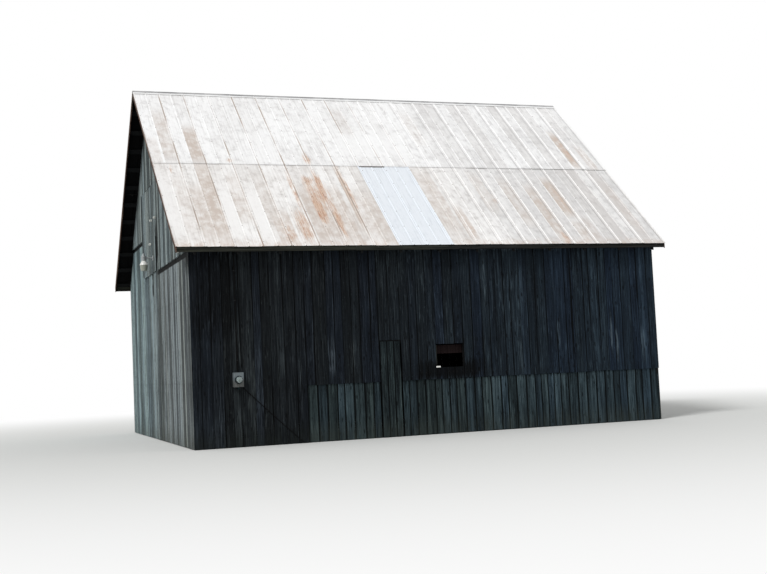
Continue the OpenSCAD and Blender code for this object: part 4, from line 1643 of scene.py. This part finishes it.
    def lay(self, course: Course, master: Copies) -> None:
        """Lay one course, with a tone for each strip between crimps.

        Args:
            course: The course.
            master: The modelled sheet.
        """
        rng = np.random.default_rng(course.seed)
        copies = master.fresh()
        ux, uv, uz = copies.unit.T
        share = ux / self.sheet.cover
        crest = np.clip(uz / self.sheet.crimp_h, 0, 1)
        tones = rng.uniform(0, 1, 2 * self.sheets + 2)
        for i in course.sheets:
            x = self.left + (i + share) * self.step
            x = np.maximum(x, self.left + self.fold + (x - self.left) * self.squeeze)
            x = np.minimum(x, self.right - self.fold + (x - self.right) * self.squeeze)
            bottom = course.bottom - rng.uniform(*self.stagger) - rng.uniform(-self.skew, self.skew) * share
            down = course.top + uv * (bottom - course.top)
            waves = np.sin(2 * math.pi * down / self.lath_pitch + rng.uniform(0, 6))
            off = uz + self.side_lift * np.clip(share, 0, 1)
            off = off + self.wave * waves * (1 - crest) * rng.uniform(0.3, 1)
            off = off + rng.uniform(0, self.curl) * np.clip(uv - 0.93, 0, 1) / 0.07 + course.lift
            strip = np.where(share < 0.5, tones[2 * i], tones[2 * i + 1])
            blend = np.clip((share - 0.97) / 0.03, 0, 1)
            strip = strip * (1 - blend) + tones[2 * i + 2] * blend
            copies.add(
                self.put(x, down, off, course.front), tone=strip, crest=crest, over=ux,
                grain=points(x, off, down))
        made = copies.make(course.name)
        Bench.smooth(made, 20)
        dress(made, course.finish, course.node)
        self.blacken(made, course.front)

    def blacken(self, made: Piece, front: bool) -> None:
        """Give the faces under the sheets their own near-black material: sooty tin, deepened as painted
        shade.

        Args:
            made: The course's piece.
            front: Whether it is on the front slope.
        """
        outward = Vector((0, (-1 if front else 1) * SINE, COSINE))
        made.data.materials.append(material_of(SHADED_UNDER_TIN))
        Bench.pick(made, "FACE", lambda at, way: way.dot(outward) < -0.3)
        made.active_material_index = 1
        bpy.ops.object.material_slot_assign()
        Bench.leave()


@dataclass
class Trim:
    """The rake boards at the roof's ends and the fascias under its eaves."""

    rake_depth: float = 0.1
    fascia_depth: float = 0.115
    joint: float = 0.003
    lengths: int = 3
    set_back: Span = (0.0005, 0.003)
    wear: float = 0.004

    def build(self) -> None:
        """Build the rakes and the fascias."""
        board = BoardMaker().model()
        self.rng = np.random.default_rng(61)
        self.fascias(board.fresh())
        self.rakes(board.fresh())

    def rakes(self, copies: Copies) -> None:
        """Lay two lengths of rake board down each slope at each end.

        Args:
            copies: The modelled board.
        """
        a, d, s = copies.unit.T
        joints = np.linspace(CLEAR, ROOF_HIGH.y, 3)
        for end, inward in ((ROOF_LOW.x, 1), (ROOF_HIGH.x, -1)):
            for side in (-1, 1):
                for start, stop in zip(joints, joints[1:]):
                    away = start + s * (stop - start - self.joint)
                    set_back = self.rng.uniform(*self.set_back) + 0.002 * np.sin(3 * s) ** 2
                    x = end + inward * ((1 - d) * (TRIM - set_back - CLEAR) + set_back)
                    if side < 0 < inward:
                        x = x + RUN_IN * away / ROOF_HIGH.y
                    depth = a * (self.rake_depth - self.rng.uniform(0, self.wear)) / COSINE
                    copies.add(
                        points(x, side * away, RIDGE - away * FALL - depth), tone=self.rng.uniform(),
                        across=2 * a - 1, grain=points(a * self.rake_depth, d * TRIM, away / COSINE))
        dress(copies.make("rake_trim"), RAKE, "rake_boards")

    def fascias(self, copies: Copies) -> None:
        """Lay lengths of fascia along each eave.

        Args:
            copies: The modelled board.
        """
        low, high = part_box("eave_fascias")
        a, d, s = copies.unit.T
        for side in (-1, 1):
            joints = np.linspace(low.x + (RUN_IN if side < 0 else 0), high.x, self.lengths + 1)
            for start, stop in zip(joints, joints[1:]):
                x = start + s * (stop - start - self.joint)
                set_back = self.rng.uniform(*self.set_back)
                y = side * (high.y - (1 - d) * (TRIM - CLEAR - set_back) - set_back)
                ragged = self.rng.uniform(0, 0.003) + 0.002 * np.sin(4 * s + self.rng.uniform(0, 6))
                slope = (high.y - np.abs(y)) * FALL * (1 - a) * 0.9
                z = low.z + self.fascia_depth * (1 - a) - CLEAR + slope + ragged * a
                copies.add(
                    points(x, y, z), tone=self.rng.uniform(), across=2 * a - 1,
                    grain=points(a * self.fascia_depth, d * TRIM, x))
        dress(copies.make("fascia_trim"), FASCIA, "eave_fascias")


@dataclass
class Meter:
    """The electric meter: its case, ring, glass, register and hub."""

    case_height: float = 0.3
    glass_width: float = 0.165
    glass_height: float = 0.09
    glass_thick: float = 0.002
    dome_share: float = 0.82
    ring_height: float = 0.03
    bevel: float = 0.008
    hub_share: float = 0.12
    dials: int = 5
    counters: int = 6

    def build(self) -> None:
        """Build the meter from its places in the frame."""
        low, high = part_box("meter_glass")
        self.middle, self.face = (low + high) / 2, high.y
        self.case(*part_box("meter_box"))
        self.glass()
        self.register()

    def spot(self, x: float, out: float, z: float) -> Vector:
        """Place a point from the glass's middle, with its way out of the case."""
        return Vector((self.middle.x + x, self.face - out, self.middle.z + z))

    def turned(
        self, name: str, profile: Sequence[Span], x: float, out: float, z: float, sides: int,
        wide: float = 1.0, high: float = 1.0
    ) -> Piece:
        """Turn a round part that stands out of the case, as Bench.turned does."""
        return Bench.turned(name, profile, self.spot(x, out, z), (0, -1, 0), sides, wide, high)

    def case(self, low: Vector, high: Vector) -> None:
        """Build the case with its cover, the ring, the hub and the seal.

        Args:
            low: The lower corner of the meter's node.
            high: Its upper corner.
        """
        case = Bench.plate(
            "case", (low.x, low.y, high.z - self.case_height), (high.x, high.y - CLEAR, high.z), 1,
            self.bevel, 3)
        front = low.y + 1e-4
        Bench.pick(case, "FACE", lambda at, normal: at.y < front and normal.y < -0.9)
        bpy.ops.mesh.inset(thickness=0.004, depth=0.0)
        bpy.ops.mesh.inset(thickness=0.003, depth=-0.003)
        Bench.leave()
        Bench.smooth(case)
        ring = self.turned(
            "ring", ((1, 0), (1, 0.3), (0.96, 0.4), (0.96, 0.8), (0.9, 1), (0.84, 1), (0.84, 0.4)),
            0, 0, 0, 48, self.glass_width / 2, self.ring_height)
        hub = Bench.turned(
            "hub", ((0.62, 0), (0.9, 0.004), (0.9, 0.02), (1, 0.022), (1, 0.036), (0.8, 0.04), (0.8, 0.046)),
            (self.middle.x, (low.y + high.y) / 2, low.z), (0, 0, 1), 24, (high.x - low.x) * self.hub_share)
        seal = self.turned("seal", ((0.006, 0), (0.006, 0.006), (0.003, 0.009)), 0, 0, -0.118, 12)
        hasp = Bench.plate(
            "hasp", self.spot(-0.014, 0.004, -0.135), self.spot(0.014, -0.002, -0.104), 1, 0.005)
        dress(Bench.join("meter_case", [case, seal, hasp]), METER_GREY, "meter_box")
        dress(Bench.join("meter_ring_and_hub", [ring, hub]), METER_DARK)

    def glass(self) -> None:
        """Build the glass as a thin dome that is open to the case."""
        radius, rim = self.glass_width / 2 * self.dome_share, self.glass_height
        dome = self.turned("meter_dome", (
            (1, 0.004), (1, rim * 0.72), (0.96, rim * 0.87), (0.86, rim * 0.95), (0.6, rim * 0.985),
            (0.2, rim)), 0, 0, 0, 48, radius)
        base = self.face - 0.005
        Bench.pick(dome, "FACE", lambda at, normal: at.y > base and normal.y > 0.9)
        bpy.ops.mesh.delete(type="FACE")
        Bench.leave()
        Bench.thicken(dome, self.glass_thick, -1.0)
        Bench.smooth(dome)
        dress(dome, METER_GLASS, "meter_glass")

    def register(self) -> None:
        """Build the register behind the glass: drum, plate, disc, dials and counters."""
        parts = [
            self.turned("drum", ((0.058, 0.001), (0.058, 0.02), (0.05, 0.024), (0.05, 0.03)), 0, 0, 0, 32),
            Bench.plate("plate", self.spot(-0.042, 0.052, 0.004), self.spot(0.042, 0.03, 0.046), 1, 0.004),
            Bench.turned("disc", ((0.034, 0), (0.034, 0.0015)), self.spot(0, 0.035, -0.012), (0, 0, 1), 32)]
        for i in range(self.dials):
            parts.append(self.turned(
                "dial", ((0.007, 0), (0.007, 0.0012), (0.0058, 0.0012), (0.0058, 0.0004)),
                -0.032 + i * 0.016, 0.0518, 0.03, 20))
        for i in range(self.counters):
            x = -0.025 + i * 0.01
            low, high = self.spot(x - 0.004, 0.0528, 0.01), self.spot(x + 0.004, 0.051, 0.02)
            parts.append(Bench.block("counter", low, high))
        dress(Bench.join("meter_register", parts), DIAL_GREEN)


@dataclass
class YardLight:
    """The yard light on the left gable: arm, ballast housing, reflector and lens."""

    arm_radius: float = 0.016
    plate_thick: float = 0.006
    plate_half: float = 0.06
    ballast_radius: float = 0.062
    ballast_height: float = 0.125
    sensor_radius: float = 0.028
    sensor_height: float = 0.055
    flutes: int = 48
    flute_share: float = 0.97
    reflector_share: float = 0.4

    def build(self) -> None:
        """Build the light from its places in the frame."""
        low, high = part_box("yard_light_bell")
        self.axis_x, self.axis_y = (low.x + high.x) / 2, (low.y + high.y) / 2
        self.housing_z = high.z + CLEAR
        self.arm_z = self.housing_z + 0.56 * self.ballast_height
        self.holder(*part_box("yard_light_arm"))
        self.bell(low, high)

    def holder(self, low: Vector, high: Vector) -> None:
        """Build the wall plate, the arm and the housing with its light sensor.

        Args:
            low: The lower corner of the arm's node.
            high: Its upper corner, on the wall.
        """
        face, y, z = high.x - self.plate_thick, self.axis_y, self.arm_z
        half_y = min((high.y - low.y) / 2, 0.05)
        parts = [Bench.plate(
            "plate", (face, y - half_y, z - self.plate_half), (high.x, y + half_y, z + self.plate_half), 0,
            0.012, 3)]
        for side in (-0.036, 0.036):
            for up in (-0.046, 0.046):
                parts.append(Bench.turned(
                    "screw", ((0.007, 0), (0.007, 0.002), (0.004, 0.004)), (face, y + side, z + up),
                    (-1, 0, 0), 10))
        parts.append(Bench.turned(
            "collar", ((0.03, 0), (0.03, 0.004), (0.022, 0.012), (self.arm_radius + 0.001, 0.016)),
            (face, y, z), (-1, 0, 0), 24))
        start = self.axis_x + self.ballast_radius * 0.5
        parts.append(Bench.rod("arm", [(face, y, z), (start, y, z)], self.arm_radius, 16))
        r, h = self.ballast_radius, self.ballast_height
        s, k = self.sensor_radius, self.sensor_height
        parts.append(Bench.turned("housing", (
            (r * 0.93, 0), (r, 0.004), (r, h * 0.1), (r * 0.96, h * 0.12), (r * 0.96, h * 0.7),
            (r, h * 0.72), (r, h * 0.8), (r * 0.93, h * 0.88), (r * 0.78, h), (s * 1.15, h + 0.002),
            (s, h + 0.006), (s, h + k * 0.84), (s * 0.92, h + k * 0.96), (s * 0.4, h + k)),
            (self.axis_x, y, self.housing_z), (0, 0, 1), 40))
        clamp_x = self.axis_x + r * 0.9
        parts.append(Bench.plate(
            "clamp", (clamp_x, y - 0.026, z - 0.024), (clamp_x + 0.03, y + 0.026, z + 0.024), 0, 0.008))
        dress(Bench.join("yard_light_holder", parts), LAMP_GREY, "yard_light_arm")

    def bell(self, low: Vector, high: Vector) -> None:
        """Build the white reflector and the fluted lens under it.

        Args:
            low: The lower corner of the bell's node.
            high: Its upper corner.
        """
        radius, height = (high.x - low.x) / 2, high.z - low.z
        base, axis = (self.axis_x, self.axis_y, low.z), (0, 0, 1)
        split = height * (1 - self.reflector_share)
        reflector = Bench.turned("yard_light_reflector", (
            (0.97, split - 0.004), (0.985, split - 0.001), (0.97, split + 0.004),
            (0.86, split + height * 0.12), (0.66, split + height * 0.26), (0.5, split + height * 0.36),
            (self.ballast_radius * 0.94 / radius, height)), base, axis, self.flutes, radius)
        dress(reflector, LAMP_WHITE, "yard_light_bell")
        lens = Bench.turned("yard_light_lens", (
            (0.3, 0.0), (0.62, 0.003), (0.74, 0.012), (0.82, split * 0.4), (0.9, split * 0.8),
            (0.93, split - 0.006), (0.93, split + 0.004)), base, axis, self.flutes, radius)
        step = 2 * math.pi / self.flutes
        middle = Vector((self.axis_x, self.axis_y, 0))

        def ridge(at: Vector, way: Vector) -> bool:
            """Say whether an edge stands on every second corner of the lens.

            Args:
                at: The edge's middle.
                way: Its direction.

            Returns:
                Whether it does.
            """
            turn = math.atan2(at.y - middle.y, at.x - middle.x) / step
            return abs(way.z) > 0.3 and round(turn) % 2 == 0 and abs(turn - round(turn)) < 0.1

        Bench.pick(lens, "EDGE", ridge)
        bpy.ops.transform.resize(value=(self.flute_share, self.flute_share, 1), center_override=middle)
        Bench.leave()
        dress(lens, LAMP_LENS)


@dataclass
class Knobs:
    """Wire knobs of porcelain: four on the left gable and one under the front eave."""

    width: float = 0.06
    places: tuple[Span, ...] = ((-0.62, 1.28), (0.0, 1.29), (0.235, 0.73), (-3.88, 0.09))
    lap_z: float = 4.07
    eave_x: float = -4.575
    profile: tuple[Span, ...] = (
        (0.84, 0), (0.97, 0.06), (1, 0.14), (0.98, 0.25), (0.78, 0.34), (0.68, 0.42), (0.72, 0.5),
        (0.92, 0.58), (1, 0.68), (0.96, 0.82), (0.8, 0.93), (0.5, 0.97), (0.2, 0.98))

    def build(self) -> None:
        """Turn a knob at each place, with a foot, a groove for the wire and a nail in its head."""
        wall_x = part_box("left_gable_boards")[0].x - CLEAR
        low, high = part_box("front_wall_left")
        spots = [((wall_x, y, self.lap_z + z), (-1, 0, 0)) for y, z in self.places]
        spots.append(((self.eave_x, low.y - CLEAR, high.z - self.width), (0, -1, 0)))
        knobs = [
            Bench.turned("knob", self.profile, base, axis, 28, self.width / 2, self.width)
            for base, axis in spots]
        dress(Bench.join("knob_insulators", knobs), PORCELAIN, "wire_knobs")
        nails = [
            Bench.turned(
                "knob_nail", ((0.006, -0.004), (0.006, 0.001), (0.003, 0.003)),
                Vector(base) + Vector(axis) * (self.width - 0.004), axis, 10)
            for base, axis in spots]
        dress(Bench.join("knob_nails", nails), NAIL_STEEL)


@dataclass
class Cables:
    """The cable into the meter and its ground cable, both held by the wall."""

    service_radius: float = 0.014
    ground_radius: float = 0.008
    sag: float = 0.012
    strap_every: float = 0.62
    strap_foot: float = 0.014
    strap_half: float = 0.008
    strap_thick: float = 0.002

    def build(self) -> None:
        """Build both cables with their straps."""
        low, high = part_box("service_cable")
        x, y = (low.x + high.x) / 2, (low.y + high.y) / 2
        rng = np.random.default_rng(71)
        service = [(x + rng.uniform(-0.003, 0.003), y, z) for z in np.linspace(low.z, high.z, 12)]
        cable = Bench.rod("service_cable_rod", service, self.service_radius * 0.97)
        dress(cable, CABLE_BLACK, "service_cable")
        low_g, high_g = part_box("ground_cable")
        r = self.ground_radius
        start = Vector((low_g.x + r, low_g.y + r, high_g.z - r))
        end = Vector((high_g.x - r, low_g.y + r, low_g.z + r))
        ground = [
            start.lerp(end, share) + Vector((0, 0, -self.sag * math.sin(share * math.pi)))
            for share in np.linspace(0, 1, 16)]
        cable = Bench.rod("ground_cable_rod", ground, r * 0.96, 8)
        dress(cable, CABLE_BLACK, "ground_cable")
        heights = np.arange(low.z + 0.25, high.z, self.strap_every)
        straps = [self.strap(x, z, self.service_radius) for z in heights]
        straps += [self.strap(point.x, point.z, r) for point in ground[2::4]]
        dress(Bench.join("cable_straps", straps), STRAP_GREY)

    def strap(self, x: float, z: float, radius: float) -> Piece:
        """Model one strap from a plate whose middle is pulled over the cable.

        Args:
            x: Where it is along the wall.
            z: How high it is.
            radius: The cable's radius.

        Returns:
            The strap.
        """
        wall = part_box("front_wall_left")[0].y
        half, thick = radius + self.strap_foot, self.strap_thick
        made = Bench.block(
            "strap", (x - half, wall - thick, z - self.strap_half), (x + half, wall, z + self.strap_half))
        Bench.cut(made, 0, [x - radius - thick, x + radius + thick])
        Bench.pick(made, "FACE", lambda at, normal: normal.y < -0.9 and abs(at.x - x) < radius)
        step = {"value": (0, -2 * radius - 0.0005, 0)}
        bpy.ops.mesh.extrude_region_move(TRANSFORM_OT_translate=step)
        bpy.ops.transform.resize(value=(0.7, 1, 1), center_override=(x, wall, z))
        Bench.leave()
        return made


@dataclass
class WindowParts:
    """The strip of paler wood on the window's left jamb, the catch under it and the board inside."""

    depth: float = 0.05
    board_height: float = 0.2
    board_thick: float = 0.02
    strip: float = 0.014
    catch_length: float = 0.1
    catch_height: float = 0.032
    margin: float = 0.01

    def build(self) -> None:
        """Build the strip, the catch and the board that is nailed across the studs inside."""
        low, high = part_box("front_wall_under_window")
        left, sill, face = low.x - CLEAR, high.z, low.y
        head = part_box("front_wall_over_window")[0].z
        strip = Bench.block(
            "window_jamb_strip", (left, face + 0.004, sill + 0.06),
            (left + self.strip, face + self.depth, head - self.margin))
        Bench.cut(strip, 2, [sill + (head - sill) * share for share in (0.35, 0.5, 0.7)])
        middle = sill + (head - sill) * 0.5
        Bench.pick(strip, "FACE", lambda at, normal: normal.x > 0.9 and at.z < middle)
        bpy.ops.mesh.inset(thickness=0.003, depth=-0.002)
        Bench.leave()
        self.grain(strip)
        dress(strip, BARE)
        low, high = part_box("window_studs")
        inside = Bench.plate(
            "window_inner_board", (low.x + self.margin, high.y + CLEAR, head - self.board_height),
            (high.x - self.margin, high.y + self.board_thick, head - self.margin), 0, 0.003, 1)
        Bench.cut(inside, 0, [low.x + (high.x - low.x) * share for share in (0.25, 0.5, 0.75)])
        self.grain(inside)
        dress(inside, INNER)
        x, z = left - 0.012, sill - 0.002
        catch = Bench.plate(
            "window_catch", (x, face - 0.006, z),
            (x + self.catch_length, face - 0.001, z + self.catch_height), 1, 0.006)
        Bench.smooth(catch)
        dress(catch, LAMP_WHITE)

    def grain(self, made: Piece) -> None:
        """Give a hand-made board the numbers that the board finish reads.

        Args:
            made: The board.
        """
        places = np.array([v.co for v in made.data.vertices])
        size = len(places)
        carry(made.data, {"grain": places, "tone": np.full(size, 0.8), "across": np.zeros(size)})


@dataclass(frozen=True)
class Camera:
    """The camera where the photographer stood."""

    place: tuple[float, float, float] = (-9.414, -28.279, 1.473)
    heading: float = math.radians(19.37)
    tilt: float = math.radians(4.07)
    roll: float = math.radians(-2.64)
    lens: float = 53.9

    def build(self) -> None:
        """Make the scene's camera."""
        data = bpy.data.cameras.new("camera")
        data.lens = self.lens
        data.clip_end = 500
        made = link("camera", data)
        ahead = Vector((
            math.sin(self.heading) * math.cos(self.tilt), math.cos(self.heading) * math.cos(self.tilt),
            math.sin(self.tilt)))
        right = Vector((math.cos(self.heading), -math.sin(self.heading), 0))
        up = right.cross(ahead)
        turned_right = math.cos(self.roll) * right + math.sin(self.roll) * up
        turned_up = math.cos(self.roll) * up - math.sin(self.roll) * right
        turn = Matrix((turned_right, turned_up, -ahead)).transposed().to_4x4()
        made.matrix_world = Matrix.Translation(self.place) @ turn
        bpy.context.scene.camera = made


@dataclass(frozen=True)
class Studio:
    """A plain pale floor under plain soft light."""

    floor_size: float = 260.0
    floor_level: float = -0.002
    floor: Colour = srgb(226, 227, 225)
    white: Colour = (1.0, 1.0, 1.0)
    fade: Span = (9.0, 26.0)
    sky_light: float = 0.58
    key_light: float = 1.5
    key_spread: float = math.radians(14)
    key_from: tuple[float, float, float] = (-0.62, -0.42, 0.78)

    def build(self) -> None:
        """Make the floor, the sky and the key light."""
        bpy.ops.object.select_all(action="DESELECT")
        bpy.ops.mesh.primitive_plane_add(size=self.floor_size, location=(0, 0, self.floor_level))
        ground = Bench.settle("floor")
        ground.data.materials.append(self.floor_material())
        self.light_sky()
        lamp = bpy.data.lights.new("key", "SUN")
        lamp.energy = self.key_light
        lamp.angle = self.key_spread
        key = link("key", lamp)
        key.rotation_mode = "QUATERNION"
        key.rotation_quaternion = Vector(self.key_from).to_track_quat("Z", "Y")
        bpy.context.scene.view_settings.view_transform = "Standard"

    def floor_material(self) -> bpy.types.Material:
        """Make a pale floor that fades to the white of the backdrop far from the barn.

        Returns:
            The material.
        """
        paint = Paint("floor")
        x, y, _ = paint.place()
        away = (x * x + y * y).math("SQRT").rise(*self.fade)
        plain = paint.node("ShaderNodeBsdfDiffuse", inputs={0: self.floor})
        white = paint.node("ShaderNodeEmission", inputs={0: self.white})
        shown = paint.node("ShaderNodeLightPath", out="Is Camera Ray")
        mixed = paint.node("ShaderNodeMixShader", inputs={0: away * shown, 1: plain, 2: white})
        paint.node("ShaderNodeOutputMaterial", inputs={0: mixed})
        return paint.owner

    def light_sky(self) -> None:
        """Light the barn plainly, and show white where the camera or a gloss looks past it."""
        paint = Paint("studio", "worlds")
        bpy.context.scene.world = paint.owner
        rays = (f"Is {ray} Ray" for ray in ("Camera", "Glossy", "Transmission"))
        camera, glossy, through = (paint.node("ShaderNodeLightPath", out=ray) for ray in rays)
        strength = camera.most(glossy).most(through) * (1 - self.sky_light) + self.sky_light
        sky = paint.node("ShaderNodeBackground", inputs={0: self.white, 1: strength})
        paint.node("ShaderNodeOutputWorld", inputs={0: sky})


TIMBERS = {
    Axis.ALONG: ("sills", "front_girts", "back_girts", "wall_plates", "ridge_board", "back_roof_lath"),
    Axis.ACROSS: ("tie_beams", "end_girts"),
    Axis.UP: ("front_posts", "back_posts", "end_posts", "gable_studs", "window_studs"),
    Axis.SLOPE: ("front_rafters", "back_rafters", "wall_braces", "tie_braces"),
}


def paint_timbers() -> None:
    """Give the frame's own timbers a finish with its grain the right way."""
    for axis, nodes in TIMBERS.items():
        material = TimberFinish(f"timber_{axis.name.lower()}", axis).material()
        for node in nodes:
            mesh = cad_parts[node].data
            mesh.materials.clear()
            mesh.materials.append(material)
            log.info("%s: timber", node)


def main() -> None:
    """Build the barn's looks in order and report each piece."""
    logging.basicConfig(level=logging.INFO, format="%(name)s: %(message)s")
    Camera().build()
    Studio().build()
    paint_timbers()
    for assembly in (Walls(), Roof(), Trim(), Meter(), YardLight(), Knobs(), Cables(), WindowParts()):
        assembly.build()


if __name__ == "__main__":
    main()
